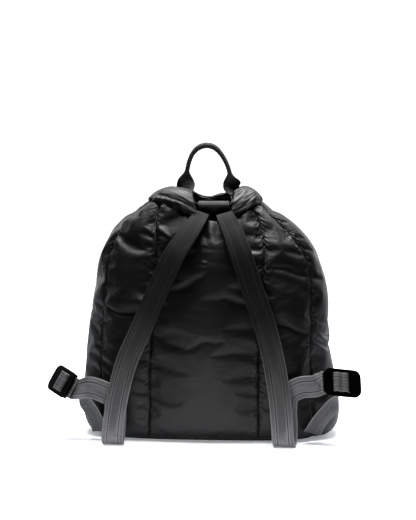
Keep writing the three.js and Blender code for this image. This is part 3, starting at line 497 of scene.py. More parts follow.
def ring_faces(rings, sides, first=0, flip=False):
    """Quads between closed rings of points; flip turns them over."""
    i, j = np.meshgrid(np.arange(rings - 1), np.arange(sides), indexing="ij")
    a = (first + i * sides + j).ravel()
    b = (first + i * sides + (j + 1) % sides).ravel()
    quads = np.stack([a, b, b + sides, a + sides], 1)
    return (quads[:, ::-1] if flip else quads).tolist()


def capped_rings(rings, sides, first=0):
    """Quads between closed rings, and a face at each end."""
    last = first + (rings - 1) * sides
    return ring_faces(rings, sides, first) + [list(range(first, first + sides))[::-1],
                                              list(range(last, last + sides))]


angle = even_turns(BASE_POINTS)
foot = wall_point(0, angle)
inward = -unit(wall_normal(np.zeros_like(angle), angle) * [1, 1, 0])
layers = [(foot + inward * inset) * [1, 1, 0] + [0, 0, height] for inset, height in (
    (3.0, 0.0), (1.4, 0.5), (0.7, 2.0), (0.7, 5.0), (1.4, 6.3), (4.7, 7.0))]
layers = ([layers[0] * [s, s, 1] for s in (0.16, 0.4, 0.66, 0.86)] + layers
          + [layers[-1] * [s, s, 1] for s in (0.86, 0.66, 0.4, 0.16)])
points = np.vstack(layers)
base = make_piece("padded_base", points, capped_rings(len(layers), BASE_POINTS), nylon,
                  points[:, :2])
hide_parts("base_panel")

# ---- Casing ----
# A padded nylon tube sewn round the mouth and gathered by the cord in it. Its two ends stay open
# on the strap side, where the pair of lobes beside them are smooth and round.
CASING_RISE, CASING_NEAR_DIP, CASING_FAR_DIP = 20.0, 20.0, 13.0
MOUTH_NEAR, MOUTH_FAR = 27.0, 40.0
CASING_THICKNESS, CASING_CLEARANCE = 13.0, -0.6
CASING_LEFT_END, CASING_RIGHT_END = -28.0, 41.0
CASING_FILL, RIM_LENGTH = 0.5, 330.0
RUFFLES, SLOW_ROLLS, LOBE_ROLLS, PLUMP_LOBES = 1.7, 1.5, 0.35, 0.3
# the cord's channel: its middle and half size along the tube, and off its middle
CHANNEL_ALONG, CHANNEL_OFF = (0.56, 0.3), (0.2, 3.6)


def rim_point(angle):
    dip = CASING_NEAR_DIP * dip_share(angle, NEAR_ANGLE) + CASING_FAR_DIP * dip_share(angle, math.pi / 2)
    depth = np.where(np.sin(angle) < 0, MOUTH_NEAR, MOUTH_FAR)
    return np.stack([MOUTH_WIDTH / 2 * np.cos(angle), depth * np.sin(angle),
                     BODY_HEIGHT + CASING_RISE - dip], -1)


def casing_frame(station):
    """Seam, rim and way out, at stations from the casing's right end round the back to its left."""
    station = np.asarray(station, float)

    def angle_at(left_half, right_half):
        start = -math.acos(CASING_RIGHT_END / right_half)
        end = math.pi + math.acos(-CASING_LEFT_END / left_half)
        return start + (end - start) * station

    seam_angle = angle_at(BODY_WIDTH / 2 * SECTIONS[-1, 1], BODY_WIDTH / 2 * SECTIONS[-1, 2])
    seam = wall_point(1.0, seam_angle)
    rim = rim_point(angle_at(MOUTH_WIDTH / 2, MOUTH_WIDTH / 2))
    along = unit(rim - seam)
    turning = np.stack([-np.sin(seam_angle), np.cos(seam_angle), 0 * seam_angle], -1)
    outward = unit(np.cross(turning, along))
    return seam + along * CASING_CLEARANCE - outward * SEAM_THICKNESS / 2, rim, outward


def casing_point(station, along, off):
    seam, rim, outward = casing_frame(station)
    return (seam + (rim - seam) * np.asarray(along, float)[..., None]
            + outward * np.asarray(off, float)[..., None])


# Round the tube: along from seam to rim, and off its middle as a share of half its thickness.
TUBE = np.array([
    [0.0, 0.16], [0.04, 0.62], [0.16, 0.96], [0.34, 1.12], [0.55, 1.12], [0.75, 0.88], [0.9, 0.5],
    [0.985, 0.1], [1.0, -0.25], [0.93, -0.6], [0.76, -0.85], [0.55, -0.95], [0.3, -0.76],
    [0.12, -0.48], [0.02, -0.2],
])
TUBE_SIDES, TUBE_RINGS = 60, 440
TUBE_LAP = 60  # millimetres of fabric round the tube
tube = catmull(np.vstack([TUBE[-1:], TUBE, TUBE[:2]]), 1 + np.linspace(0, len(TUBE), TUBE_SIDES,
                                                                       endpoint=False))
station = np.linspace(-0.028, 1.036, TUBE_RINGS)  # the lobes end close to the tunnel
walk = station * RIM_LENGTH
ruffled = smoothstep(np.minimum(station, 1 - station), 0.12, 0.22)
seam, rim, outward = casing_frame(station)
rings_out, rings_in = [], []
for along, off in tube:
    fold = waves(walk + 6 * along, 5.2, 501) + 0.55 * waves(walk + 9 * along, 2.9, 502)
    slow = waves(walk, 19.0, 503)
    outside = smoothstep(off, -0.3, 0.6)
    by_seam = 0.35 + 0.65 * np.exp(-((along - 0.15) / 0.5) ** 2)
    faint = waves(walk - 14 * along, 12.0, 505) * math.sin(math.pi * min(max(along, 0), 1))
    rises = (RUFFLES * fold * by_seam + SLOW_ROLLS * slow) * ruffled + LOBE_ROLLS * (1 - ruffled) * faint
    seam_pucker = waves(walk, 3.6, 504) * math.exp(-(along / 0.16) ** 2) * outside
    plump = 1 + PLUMP_LOBES * (1 - ruffled) * outside  # the two smooth lobes are rounder
    height = off * CASING_THICKNESS / 2 * plump + rises * (0.25 + 0.75 * outside) + seam_pucker
    up_tube = along + 0.05 * ruffled * slow * (along > 0.7) - 0.16 * (1 - ruffled) * (1 - along)
    rings_out.append(seam + (rim - seam) * up_tube[:, None] + outward * height[:, None])
    turn = math.atan2(off, (along - 0.55) * 2)
    rings_in.append(casing_point(
        station, np.full(TUBE_RINGS, CHANNEL_ALONG[0] + CHANNEL_ALONG[1] * math.cos(turn)),
        np.full(TUBE_RINGS, CHANNEL_OFF[0] + CHANNEL_OFF[1] * math.sin(turn))))


def tube_wall(outer, inner, flip):
    """Points and faces of an open tube, from the rings of its outer and inner sides."""
    rings, sides = outer.shape[:2]
    count = rings * sides
    faces = ring_faces(rings, sides, 0, flip) + ring_faces(rings, sides, count, not flip)
    for first, turned in ((0, not flip), (count - sides, flip)):
        a = first + np.arange(sides)
        b = first + (np.arange(sides) + 1) % sides
        quads = np.stack([a, b, b + count, a + count], 1)
        faces += (quads[:, ::-1] if turned else quads).tolist()
    return np.vstack([outer.reshape(-1, 3), inner.reshape(-1, 3)]), faces


points, faces = tube_wall(np.stack(rings_out, 1), np.stack(rings_in, 1), True)
casing = make_piece("gathered_casing", points, faces, nylon,
                    fabric_uv(walk[:, None], np.linspace(0, TUBE_LAP, TUBE_SIDES)))
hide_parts("drawstring_casing")

# ---- Drawcord ----
# A round cord of braided polyester, in one loop. The casing and the tunnel hold it all the way, and
# its two ends meet inside the tunnel.
CORD_RADIUS, CORD_STRANDS, CORD_SIDES = 2.5, 8, 24
CORD_ALONG, CORD_OFF = 0.55, 0.195  # where it lies in the casing
TUNNEL_LENGTH, TUNNEL_DROP = 44.0, 7.5


def curve_through(points, share):
    """A centripetal curve through points, at shares of its length counted in points."""
    points = np.asarray(points, float)
    longer = np.vstack([2 * points[0] - points[1], points, 2 * points[-1] - points[-2]])
    place = np.clip(np.asarray(share, float) * (len(points) - 1), 0, len(points) - 1)
    i = np.minimum(place.astype(int), len(points) - 2)
    t = (place - i)[:, None]
    a, b, c, d = longer[i], longer[i + 1], longer[i + 2], longer[i + 3]
    ab, bc, cd = [np.maximum(np.linalg.norm(q - p, axis=1, keepdims=True), 1e-9) ** 0.5
                  for p, q in ((a, b), (b, c), (c, d))]
    start = ((b - a) / ab - (c - a) / (ab + bc) + (c - b) / bc) * bc
    end = ((c - b) / bc - (d - b) / (bc + cd) + (d - c) / cd) * bc
    return (b + start * t + (3 * (c - b) - 2 * start - end) * t ** 2
            + (2 * (b - c) + start + end) * t ** 3)


def swept(line, side, face, outline, halves, thicks):
    """Rings of points: outline rows are (side, face) shares of each ring's halves and thicks."""
    return (line[:, None] + side[:, None] * outline[None, :, :1] * halves[:, None, None]
            + face[:, None] * outline[None, :, 1:] * thicks[:, None, None])


def closed_sweep(name, rings, finish, uv=None):
    """A piece whose rings are closed at both ends; its fabric runs along it if no uv is given."""
    if uv is None:
        uv = fabric_uv(distance_gone(rings[len(rings) // 2]), distance_gone(rings.mean(1))[:, None])
    return make_piece(name, rings.reshape(-1, 3), capped_rings(*rings.shape[:2]), finish, uv)


channel = [casing_point(np.array([s]), [CORD_ALONG], [CORD_OFF])[0] for s in np.linspace(0, 1, 27)]
axis = (channel[0] + channel[-1]) / 2 - [0, 0, TUNNEL_DROP]
reach = TUNNEL_LENGTH / 2
ends = [[TUNNEL_CENTRE + s * reach, axis[1], axis[2]] for s in (0.01, 0.485, 0.97)]
others = [[TUNNEL_CENTRE - s * reach, axis[1], axis[2]] for s in (0.97, 0.485, 0.01)]
cord_line = curve_through(ends + channel + others, np.linspace(0, 1, 620))
heading = unit(np.gradient(cord_line, axis=0))
side = unit(np.cross([0, 0, 1.0], heading))
face = np.cross(heading, side)
turns = even_turns(CORD_SIDES)
twist, strand = distance_gone(cord_line)[:, None] * 0.9, CORD_STRANDS / 2 * turns[None]
plait = (np.abs(np.sin(strand + twist)) + np.abs(np.sin(strand - twist))) / 2
radius = CORD_RADIUS * (0.88 + 0.12 * plait)
rings = (cord_line[:, None] + side[:, None] * (np.cos(turns)[None] * radius)[..., None]
         + face[:, None] * (np.sin(turns)[None] * radius)[..., None])
braid = Finish("braided_polyester", Base_Color=(0.012, 0.012, 0.013, 1), Roughness=0.6,
               Specular_IOR_Level=0.35)
place, weft, warp = braid.cloth_place()
yarns = ((weft + warp) * 3.6).sine() * ((weft - warp) * 3.6).sine()
braid.varies("Normal", braid.relief(yarns, 0.0001))
cord = closed_sweep("braided_drawcord", rings, braid)
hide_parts("drawcord")

# ---- Cord tunnel ----
# Black grosgrain webbing folded over the drawcord between the casing's ends. The front of the roll
# leans out and hangs a little low, and its flat tail is sewn behind the straps' tops.
TUNNEL_BORE, TUNNEL_WALL, TUNNEL_FLAP, FLAP_SETBACK = 4.1, 1.8, 20.0, 2.6
TUNNEL_LEAN, TUNNEL_SAG, TAIL_BEVEL, TUNNEL_STEPS = 0.3, 2.2, 0.8, 45


def woven(name, half_width=0.0, painted_light_span=None):
    """Black webbing in a fine worn twill. With a half width, it has painted highlights on its selvages
    and painted shade in two stitched rows, with paler ridges beside them. With two lengths, it has
    painted light along the strap: dark before the first length, pale after the second."""
    finish = Finish(name, Specular_IOR_Level=0.3)
    place, weft, warp = finish.cloth_place()
    worn = finish.noise(place, 0.09, 4.0, (1.0, 0.3, 1.0))
    shade = worn * 0.6 + finish.noise(place, 0.7, 2.0, (1.0, 0.5, 1.0)) * 0.25
    if half_width:
        out = weft.size()
        row = (out - half_width / 2).size()
        # painted highlight: the selvages are paler, standing in for light on the webbing's edges
        selvage = out.share(half_width - 1.6, half_width - 0.4)
        # paler on the raised ridges beside each stitched row
        paler_by_rows = row.share(0.5, 1.2) * (1.0 - row.share(1.2, 2.6))
        # painted shade: darker in the stitched grooves
        painted_groove_shade = 1.0 - row.share(0.2, 0.9)
        shade = shade + 0.7 * selvage + 0.3 * paler_by_rows - 0.35 * painted_groove_shade
    # painted light: along the strap the colour stays dark up to the first length and turns pale past the
    # second, standing in for the floor's bounce on the lower strap
    if painted_light_span:
        shade = shade * (0.1 + 1.6 * warp.share(*painted_light_span))
    finish.varies("Base Color", finish.blend(shade, (0.012, 0.0122, 0.013), (0.2, 0.201, 0.206)))
    finish.varies("Roughness", 0.52 + 0.14 * worn)
    twill = (weft * 4.2 + warp * 3.6).sine() * (weft * 8.4).sine()
    finish.varies("Normal", finish.relief(twill, 0.00014, finish.relief(worn, 0.0005)))
    return finish


webbing = woven("black_grosgrain")

near_face, far_face = FLAP_SETBACK - TUNNEL_WALL, FLAP_SETBACK + TUNNEL_WALL
low, high = [math.acos(side / (TUNNEL_BORE + TUNNEL_WALL)) for side in (far_face, near_face)]
arc = np.linspace(-low, 2 * math.pi - high, 40)
roll = np.stack([np.cos(arc), np.sin(arc)], 1) * (TUNNEL_BORE + TUNNEL_WALL)
leaning = np.maximum(0, -np.cos(arc))
roll[:, 0] -= TUNNEL_LEAN * leaning * (roll[:, 1].max() - roll[:, 1])
roll[:, 1] -= TUNNEL_SAG * leaning * (roll[:, 1] < 0)
tail = [[near_face, TAIL_BEVEL - TUNNEL_FLAP], [near_face + TAIL_BEVEL, -TUNNEL_FLAP],
        [far_face - TAIL_BEVEL, -TUNNEL_FLAP], [far_face, TAIL_BEVEL - TUNNEL_FLAP]]
section = np.vstack([roll, tail])
# the bore, whose points keep beside those of the roll and the tail
inner_turn = np.concatenate([arc, np.linspace(2 * math.pi - high + 0.05, 2 * math.pi - low - 0.05, 4)])
hole = np.stack([np.cos(inner_turn), np.sin(inner_turn)], 1) * TUNNEL_BORE
across_x = np.linspace(-1, 1, TUNNEL_STEPS) * (TUNNEL_LENGTH / 2 - 0.4)
bunch = 0.7 * waves(across_x + 40, 5.0, 611)


def tunnel_rings(section, pushed):
    """A section's rings along the tunnel, each pushed back by its own distance."""
    steps = np.stack([across_x + TUNNEL_CENTRE, axis[1] + pushed, axis[2] + 0 * across_x], 1)
    return steps[:, None] + np.insert(section, 0, 0.0, 1)


points, faces = tube_wall(tunnel_rings(section, bunch), tunnel_rings(hole, 0 * bunch), False)
tunnel = make_piece("grosgrain_tunnel", points, faces, webbing,
                    fabric_uv(across_x[:, None], np.linspace(0, TUBE_LAP, len(section))))
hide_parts("cord_tunnel")

# ---- Haul loop ----
# A handle of the same grosgrain, sewn flat inside both of the casing's lobes and folded to a round
# where the hand takes it.
LOOP_WIDTH, LOOP_THICKNESS, LOOP_ROUND, LOOP_SPAN, LOOP_RISE = 27.0, 2.2, 6.4, 61.0, 60.0
LOOP_FOOT, LOOP_SETBACK, LOOP_FEET = 351.0, 7.8, (0.925, 0.075)
LOOP_LINE = [(-1.03, 0.18), (-0.97, 0.42), (-0.87, 0.62), (-0.7, 0.8), (-0.42, 0.93), (-0.08, 0.975),
             (0.28, 0.93), (0.6, 0.77), (0.84, 0.56), (0.98, 0.36), (1.05, 0.14)]
feet = []
for s in LOOP_FEET:
    facing = casing_frame(np.array([s]))[2][0]
    feet.append([(casing_point(np.array([s]), [a], [-CASING_THICKNESS / 2 - LOOP_SETBACK])[0], facing)
                 for a in (0.3, 0.95)])
leg_y = (feet[0][1][0][1] + feet[1][1][0][1]) / 2
line = [(np.array([a * LOOP_SPAN / 2, leg_y, LOOP_FOOT + r * LOOP_RISE]), np.array([0, -1.0, 0]))
        for a, r in LOOP_LINE]
route = feet[0] + line + feet[1][::-1]


def band(route, share):
    """A band's line, side and face at shares of its route, whose rows are (place, face)."""
    places = [place for place, _ in route]
    line = curve_through(places, share)
    heading = unit(curve_through(places, np.minimum(share + 1e-4, 1))
                   - curve_through(places, np.maximum(share - 1e-4, 0)))
    face = curve_through([unit(np.asarray(f, float)) for _, f in route], share)
    side = unit(np.cross(face, heading))
    return line, side, np.cross(heading, side)


def even_shares(route, steps):
    """Shares that divide a route into steps of equal length, and its length."""
    trial = np.linspace(0, 1, 4000)
    gone = distance_gone(curve_through([place for place, _ in route], trial))
    return np.interp(np.linspace(0, gone[-1], steps + 1), gone, trial), gone[-1]


share, length = even_shares(route, 260)
line, side, face = band(route, share)
from_end = np.minimum(share, 1 - share)
folded = smoothstep(from_end, 0.11, 0.21)
turns = even_turns(40)
c, d = np.cos(turns), np.sin(turns)
flat = np.stack([np.sign(c) * np.abs(c) ** 0.35, np.sign(d) * np.abs(d) ** 0.6], 1)
thick_top = LOOP_ROUND + 2.0 * smoothstep(from_end, 0.3, 0.47)
halves = (LOOP_WIDTH + (thick_top - LOOP_WIDTH) * folded) / 2
thicks = (LOOP_THICKNESS + (thick_top - LOOP_THICKNESS) * folded) / 2
rings = (swept(line, side, face, flat, halves, thicks) * (1 - folded)[:, None, None]
         + swept(line, side, face, np.stack([c, d], 1), halves, thicks) * folded[:, None, None])
rings += side[:, None] * (0.35 * np.sin(length * share * 1.7)[:, None] * np.cos(turns)[None]
                          * folded[:, None])[..., None]
loop = closed_sweep("folded_haul_loop", rings, webbing)
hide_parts("haul_loop")

# ---- Straps ----
# Two flat padded webbing straps, topstitched in two rows of polyester thread. They are sewn in
# under the casing, pass round below the bag's foot, and end in a loop round the buckle's rear bar.
STRAP_WIDTH, STRAP_TOP, STRAP_THICKNESS, STRAP_LOOP = 30.0, 24.0, 4.4, 2.0
STITCH_PITCH, STITCH_LENGTH, STITCH_RADIUS, TACK_PITCH = 3.3, 2.5, 0.42, 2.3
LEFT_STRAP = [
    (-0.08, 0.212, 0.885, 0.15, 1, 0.1), (-0.052, 0.215, 0.92, 0.15, 1, 0.2),
    (-0.036, 0.266, 0.949, 0.34, 0, 1), (-0.05, 0.33, 0.93, -0.15, -1, 0.9),
    (-0.098, 0.41, 0.885, -0.2, -1, 0.45), (-0.215, 0.512, 0.788, -0.12, -1, 0.25),
    (-0.355, 0.565, 0.624, -0.08, -1, 0.12), (-0.47, 0.587, 0.478, -0.05, -1, 0.08),
    (-0.585, 0.612, 0.336, -0.05, -1, 0.1), (-0.65, 0.65, 0.192, -0.08, -1, 0.12),
    (-0.678, 0.695, 0.075, -0.05, -1, 0.1), (-0.683, 0.708, 0.03, 0, -1, -0.25),
    (-0.682, 0.675, 0.009, 0, 0, -1), (-0.68, 0.638, 0.03, 0, 1, -0.25),
    (-0.675, 0.61, 0.085, 0.03, 1, 0.05), (-0.672, 0.6, 0.14, 0.08, 1, 0),
    (-0.69, 0.602, 0.19, 0.1, 1, -0.05), (-0.77, 0.6, 0.215, 0.1, 1, -0.1),
    (-0.87, 0.585, 0.23, 0.15, 1, -0.2),
]
RIGHT_STRAP = [
    (0.182, 0.19, 0.885, -0.3, 1, 0.1), (0.162, 0.197, 0.92, -0.3, 1, 0.2),
    (0.147, 0.255, 0.945, -0.3, 0, 1), (0.162, 0.33, 0.932, 0.1, -1, 0.9),
    (0.21, 0.405, 0.885, 0.2, -1, 0.45), (0.285, 0.505, 0.788, 0.12, -1, 0.25),
    (0.392, 0.56, 0.624, 0.08, -1, 0.12), (0.485, 0.587, 0.478, 0.05, -1, 0.08),
    (0.55, 0.612, 0.336, 0.05, -1, 0.1), (0.594, 0.65, 0.192, 0.08, -1, 0.12),
    (0.615, 0.69, 0.075, 0.08, -1, 0.1), (0.622, 0.7, 0.03, 0.05, -1, -0.25),
    (0.632, 0.665, 0.009, 0, 0, -1), (0.642, 0.63, 0.03, 0, 1, -0.25),
    (0.645, 0.6, 0.085, -0.03, 1, 0.05), (0.64, 0.588, 0.15, -0.08, 1, 0),
    (0.66, 0.58, 0.21, -0.1, 1, -0.05), (0.745, 0.575, 0.24, -0.1, 1, -0.1),
    (0.87, 0.565, 0.248, -0.1, 1, -0.2),
]
BUCKLES = {"left": ((-1.126, 0.4125, 0.242), (-0.6, 0.77, 0.16), (-0.64, -0.6, 0.465)),
           "right": ((1.065, 0.55, 0.261), (0.93, 0.34, -0.13), (0.36, -0.82, 0.43))}
REAR_BAR, REAR_LIFT, BAR_BEND = -19.0, 6.4, 3.1
BAR_LOOP = [(-2.58, -0.9, 0, -1), (0, -1, 0, -1), (0.75, -0.75, 1, -1), (1, 0, 1, 0),
            (0.75, 0.75, 1, 1), (0, 0.935, 0, 1), (-3.55, 0.84, 0, 1)]


def place_of(across, out, rise):
    return np.array([across * BODY_WIDTH / 2, -out * BODY_DEPTH, rise * BODY_HEIGHT])


def route_of(rows):
    """A band's route over the bag, from rows of a place's three shares and its facing."""
    return [(place_of(*row[:3]), np.array(row[3:], float)) for row in rows]


def buckle_frame(which):
    """The buckle's middle, and its own directions: along the webbing, across it and its face."""
    middle, along, facing = BUCKLES[which]
    x = unit(np.array(along, float))
    y = unit(np.cross(facing, x))
    return place_of(*middle), x, y, np.cross(x, y)


def in_buckle(which, rows):
    middle, x, y, z = buckle_frame(which)
    return [(middle + x * a + z * b, x * c + z * d) for a, b, c, d in rows]


# the strap's section: rounded edges, a raised selvage on each, and two stitched grooves per face
half_section = np.array([
    [1.0, 0.0], [0.995, 0.45], [0.96, 0.86], [0.92, 1.0], [0.87, 0.9], [0.74, 0.93], [0.58, 0.96],
    [0.53, 0.9], [0.5, 0.74], [0.47, 0.9], [0.42, 0.97], [0.2, 1.03], [0.0, 1.05],
])
top = np.vstack([half_section, half_section[-2::-1] * [-1, 1]])
outline = np.vstack([top, top[-2:0:-1] * [1, -1]])
# the straps carry painted light: dark along their first 138 mm from the top, pale beyond 218 mm towards
# the foot
strap_webbing = woven("black_strap_webbing", STRAP_WIDTH / 2, (138.0, 218.0))
thread = Finish("polyester_thread", Base_Color=(0.05, 0.05, 0.052, 1), Roughness=0.5)


def stitches(name, places, headings, facings):
    """Short capsules of thread in one piece: each lies along its heading, on its facing side."""
    turns = even_turns(6)
    profile = np.array([[-0.5, 0.25], [-0.4, 0.85], [0.0, 1.0], [0.4, 0.85], [0.5, 0.25]])
    lengthwise, round_it = (profile * [STITCH_LENGTH, STITCH_RADIUS]).T
    places, headings, facings = [v[:, None, None] for v in (places, headings, facings)]
    sideways = unit(np.cross(facings, headings))
    points = (places + headings * lengthwise[None, :, None, None]
              + (sideways * np.cos(turns)[:, None] + facings * np.sin(turns)[:, None])
              * round_it[None, :, None, None])
    faces = []
    for first in range(0, 30 * len(places), 30):
        faces += capped_rings(5, 6, first)
    return make_piece(name, points.reshape(-1, 3), faces, thread)


for which, strap_rows in (("left", LEFT_STRAP), ("right", RIGHT_STRAP)):
    wrap = [(REAR_BAR + a * BAR_BEND, -REAR_LIFT + b * BAR_BEND, c, d) for a, b, c, d in BAR_LOOP]
    route = route_of(strap_rows) + in_buckle(which, wrap)
    share, length = even_shares(route, 460)
    line, side, face = band(route, share)
    looped = smoothstep(share - (len(strap_rows) - 1) / (len(route) - 1), -0.06, 0.02)
    wide = smoothstep(share, 0.08, 0.2)
    halves = (STRAP_TOP + (STRAP_WIDTH - STRAP_TOP) * wide) / 2
    thicks = (STRAP_THICKNESS + (STRAP_LOOP - STRAP_THICKNESS) * looped) / 2
    rings = swept(line, side, face, outline, halves, thicks)
    uneven = waves(share * length, 11.0, 701 + len(which)) * 0.25
    rings += face[:, None] * uneven[:, None, None]
    strap = closed_sweep("webbing_strap_" + which, rings, strap_webbing,
                         fabric_uv(halves[:, None] * outline[:, 0], (share * length)[:, None]))
    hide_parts(which + "_strap")
    # two rows of stitches, their marks spaced by the length of the strap's own line
    gone = distance_gone(line)
    marks = np.interp(np.arange(6, gone[-1] - 12, STITCH_PITCH), gone, np.arange(len(gone)))

    def at_marks(rows):
        rows = rows.reshape(len(rows), -1)
        return np.stack([np.interp(marks, np.arange(len(rows)), column) for column in rows.T], 1)

    along, across_strap, off = [unit(at_marks(v)) for v in (np.gradient(line, axis=0), side, face)]
    places, headings, facings = [], [], []
    for row in (-0.5, 0.5):
        for out in (1, -1):
            places.append(at_marks(line) + across_strap * at_marks(halves) * row
                          + off * (out * 0.82 * at_marks(thicks) + at_marks(uneven)))
            headings.append(along)
            facings.append(off * out)
    for i in (len(line) - 3, len(line) - 6, len(line) - 9):  # tacks across the loop's sewn end
        for out in np.arange(-11.5, 12, TACK_PITCH):
            places.append((line[i] + side[i] * out + face[i] * (thicks[i] * 1.02 + uneven[i]))[None])
            headings.append(side[i][None])
            facings.append(face[i][None])
    stitches("strap_stitching_" + which, *[np.vstack(v) for v in (places, headings, facings)])

# ---- Buckles ----
# Moulded black acetal ladder buckles: three slots, two bars for the webbing and a rear bar held by
# two lugs, round which the strap is looped.
LENGTH, WIDTH, THICKNESS, CORNER, ROUNDING = 54.0, 38.5, 4.0, 10.0, 0.7
SLOTS = ((-12.5, 1.7), (-2.0, 3.5), (8.5, 1.5))  # each one's middle and half size along the buckle
SLOT_MARGIN, SLOT_CORNER, LUG_SPAN = 5.2, 1.2, 17.0
acetal = Finish("black_acetal", Base_Color=(0.002, 0.002, 0.0022, 1), Specular_IOR_Level=0.06)
place = acetal.node("TexCoord", "Object", {}, {})
spark = acetal.node("TexNoise", "Fac", {}, {"Vector": place, "Scale": 900.0, "Detail": 1.0})
acetal.varies("Roughness", 0.28 + 0.3 * spark)
cells = acetal.node("TexVoronoi", "Distance", {}, {"Vector": place, "Scale": 620.0})
acetal.varies("Normal", acetal.relief(cells, 0.00025))


def rounded(half_x, half_y, corner, middle=0.0, steps=7):
    """A rectangle's outline with round corners, its middle moved along x."""
    points = []
    for quarter, (sx, sy) in enumerate(((1, 1), (-1, 1), (-1, -1), (1, -1))):
        for n in range(steps + 1):
            turn = math.pi / 2 * (quarter + n / steps)
            points.append((middle + sx * (half_x - corner) + corner * math.cos(turn),
                           sy * (half_y - corner) + corner * math.sin(turn)))
    return points


def rod(start, end, radius, sides=14):
    """A round-ended bar between two points, as points and faces."""
    start, end = np.array(start, float), np.array(end, float)
    ahead = unit(end - start)
    u = unit(np.cross(ahead, [1.0, 0, 0]))
    v = np.cross(ahead, u)
    turns = even_turns(sides)
    circle = radius * (np.cos(turns)[:, None] * u + np.sin(turns)[:, None] * v)
    rings = [tip + ahead * inset * radius + wide * circle for tip, inset, wide in (
        (start, 0, 0.7), (start, 0.3, 0.95), (start, 0.6, 1.0),
        (end, -0.6, 1.0), (end, -0.3, 0.95), (end, 0, 0.7))]
    return np.vstack(rings), capped_rings(len(rings), sides)


for which in ("left", "right"):
    shape = bpy.data.curves.new("plate", "CURVE")
    shape.dimensions, shape.fill_mode = "2D", "BOTH"
    shape.bevel_depth, shape.bevel_resolution = ROUNDING, 3
    shape.extrude, shape.offset = THICKNESS / 2 - ROUNDING, -ROUNDING
    outlines = [rounded(LENGTH / 2, WIDTH / 2, CORNER)]
    for middle, half in SLOTS:
        outlines.append(rounded(half, WIDTH / 2 - SLOT_MARGIN, SLOT_CORNER, middle, 3))
    for points in outlines:
        spline = shape.splines.new("POLY")
        spline.points.add(len(points) - 1)
        for point, (x, y) in zip(spline.points, points):
            point.co = (x, y, 0, 1)
        spline.use_cyclic_u = True
    holder = in_scene("plate", shape)
    depsgraph = bpy.context.evaluated_depsgraph_get()
    plate = bpy.data.meshes.new_from_object(holder.evaluated_get(depsgraph))
    bpy.data.objects.remove(holder)
    sewn = bmesh.new()
    sewn.from_mesh(plate)
    bmesh.ops.remove_doubles(sewn, verts=sewn.verts, dist=0.002)
    bmesh.ops.recalc_face_normals(sewn, faces=sewn.faces)
    points = [list(v.co) for v in sewn.verts]
    faces = [[v.index for v in f.verts] for f in sewn.faces]
    sewn.free()
    bars = [rod((REAR_BAR, -LUG_SPAN, -REAR_LIFT), (REAR_BAR, LUG_SPAN, -REAR_LIFT), 1.4)]
    for y in (-LUG_SPAN, LUG_SPAN):
        bars.append(rod((REAR_BAR, y, -REAR_LIFT - 0.6), (REAR_BAR, y, -1.0), 1.25))
    for bar_points, bar_faces in bars:
        first = len(points)
        points += bar_points.tolist()
        faces += [[first + v for v in f] for f in bar_faces]
    middle, x, y, z = buckle_frame(which)
    points = middle + np.array(points) @ np.array([x, y, z])
    buckle = make_piece("ladder_buckle_" + which, points, faces, acetal, smooth=False)
    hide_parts(which + "_buckle")

# ---- Adjusting webbings ----
# Thin woven webbing, one at each side. It is sewn in at the foot of the side seam and threaded over
# both bars of its buckle, with a short end left behind it.
WEB_WIDTH, WEB_THICKNESS = 27.0, 1.8
LEFT_ADJUSTER = [(-0.82, 0.44, 0.035, -0.5, -0.9, 0.1), (-0.85, 0.465, 0.09, -0.6, -0.8, 0.1),
                 (-0.925, 0.45, 0.15, -0.75, -0.6, 0.1)]
RIGHT_ADJUSTER = [(0.84, 0.44, 0.04, 0.5, -0.9, 0.1), (0.89, 0.475, 0.09, 0.6, -0.8, 0),
                  (0.975, 0.495, 0.15, 0.7, -0.7, 0.1)]
web_lift = THICKNESS / 2 + 0.5 + WEB_THICKNESS / 2
outer_slot, inner_slot, second_bar, first_bar = 8.5, -12.5, 3.25, -7.25
THREAD = [
    (outer_slot - 2, -web_lift - 10, 1, -0.3), (outer_slot, -web_lift, 1, -0.1),
    (outer_slot, 0, 1, 0.2), (outer_slot - 1.2, web_lift * 0.8, 1, 1),
    (second_bar, web_lift + 0.6, 0, 1), ((first_bar + second_bar) / 2, web_lift - 1, 0, 1),
    (first_bar, web_lift + 0.6, -0.1, 1), (inner_slot + 1.2, web_lift * 0.8, -1, 1),
    (inner_slot, 0, -1, 0), (inner_slot, -web_lift, -1, 0), (inner_slot + 0.6, -web_lift - 6, -1, -0.1),
]
thin_outline = outline * [1, 0.9]
# the thin webbing carries the painted selvage highlights and the painted shade in its stitched grooves
thin_webbing = woven("black_thin_webbing", WEB_WIDTH / 2)
for which, web_rows in (("left", LEFT_ADJUSTER), ("right", RIGHT_ADJUSTER)):
    route = route_of(web_rows) + in_buckle(which, THREAD)
    share, length = even_shares(route, 300)
    line, side, face = band(route, share)
    halves = np.full(len(share), WEB_WIDTH / 2)
    rings = swept(line, side, face, thin_outline, halves, halves * WEB_THICKNESS / WEB_WIDTH)
    web = closed_sweep("adjusting_webbing_" + which, rings, thin_webbing,
                       fabric_uv(halves[:, None] * outline[:, 0], (share * length)[:, None]))
    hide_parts(which + "_adjuster")

# ---- Floor, light and camera ----
# A pale seamless studio floor, soft white light from above and behind, and a faint bounce from a
# white card in front. The camera stands at the photo's own angle.
floor_mesh = mesh_of("floor", [[-700, -150, 0], [700, -150, 0], [700, 1500, 0], [-700, 1500, 0]],
                     [[0, 1, 2, 3]])
floor = in_scene("floor", floor_mesh)
pale = Finish("pale_floor", Base_Color=(0.86, 0.87, 0.9, 1), Roughness=0.7,
              Emission_Color=(0.96, 0.98, 1, 1), Emission_Strength=0.22)
floor_mesh.materials.append(pale.material)

world = bpy.data.worlds.new("studio")
scene.world = world
world.use_nodes = True
studio = Nodes(world.node_tree)
to_right, to_back, upward = studio.parts(studio.node("TexCoord", "Generated", {}, {}), 3)
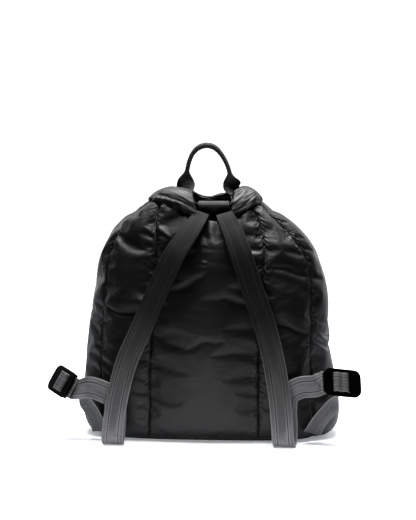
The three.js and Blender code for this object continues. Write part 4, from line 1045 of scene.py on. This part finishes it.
# dark in front of the bag, bright behind it and overhead
behind = to_back + 0.4 * upward
glow = 0.006 + 0.9 * behind.share(0.12, 1.0) + 0.04 * to_right.size().share(0.75, 1.0)
lit = studio.node("Background", 0, {}, {"Color": (0.94, 0.96, 1.0, 1), "Strength": glow})
seen = studio.node("Background", 0, {}, {"Color": (1, 1, 1, 1)})
to_camera = studio.node("LightPath", "Is Camera Ray", {}, {})
studio.feed(studio.tree.nodes["World Output"].inputs["Surface"],
            studio.node("MixShader", 0, {}, {0: to_camera, 1: lit, 2: seen}))


def softbox(name, place, target, width, height, power):
    light = bpy.data.lights.new(name, "AREA")
    light.shape, light.size, light.size_y, light.energy = "RECTANGLE", width, height, power
    lamp = in_scene(name, light)
    lamp.location = place
    lamp.rotation_euler = (Vector(target) - Vector(place)).to_track_quat("-Z", "Y").to_euler()
    return lamp


softbox("top_box", (0.0, 0.08, 1.75), (0, 0.0, 0.2), 1.1, 0.9, 54)
softbox("left_box", (-1.2, 1.3, 0.8), (0, 0, 0.2), 0.7, 1.2, 5)
softbox("right_box", (1.2, 1.2, 0.8), (0, 0, 0.2), 0.7, 1.2, 9)
# the white card's bounce fades towards the bag's top
card = softbox("floor_card", (0.0, -0.36, 0.01), (0.0, -0.1, 0.17), 0.6, 0.12, 0.95)
card.visible_camera = False

AZIMUTH, ELEVATION = math.radians(5), math.radians(5)
DISTANCE, LOOK_HEIGHT = 1.8, 0.19  # metres
PIXEL_MM, IMAGE_WIDTH, SENSOR = 1.43, 416, 36  # a photo's pixel spans 1.43 mm of the bag
back = Vector((math.sin(AZIMUTH) * math.cos(ELEVATION), -math.cos(AZIMUTH) * math.cos(ELEVATION),
               math.sin(ELEVATION)))
lens = bpy.data.cameras.new("camera")
camera = in_scene("camera", lens)
camera.location = Vector((0, 0, LOOK_HEIGHT)) + DISTANCE * back
camera.rotation_euler = (-back).to_track_quat("-Z", "Y").to_euler()
lens.sensor_fit, lens.sensor_width = "HORIZONTAL", SENSOR
lens.lens = 1000 * DISTANCE / PIXEL_MM * SENSOR / IMAGE_WIDTH
lens.shift_x, lens.shift_y = -0.5 / IMAGE_WIDTH, 40 / IMAGE_WIDTH
scene.camera = camera
scene.view_settings.view_transform = "Standard"
scene.view_settings.look = "High Contrast"
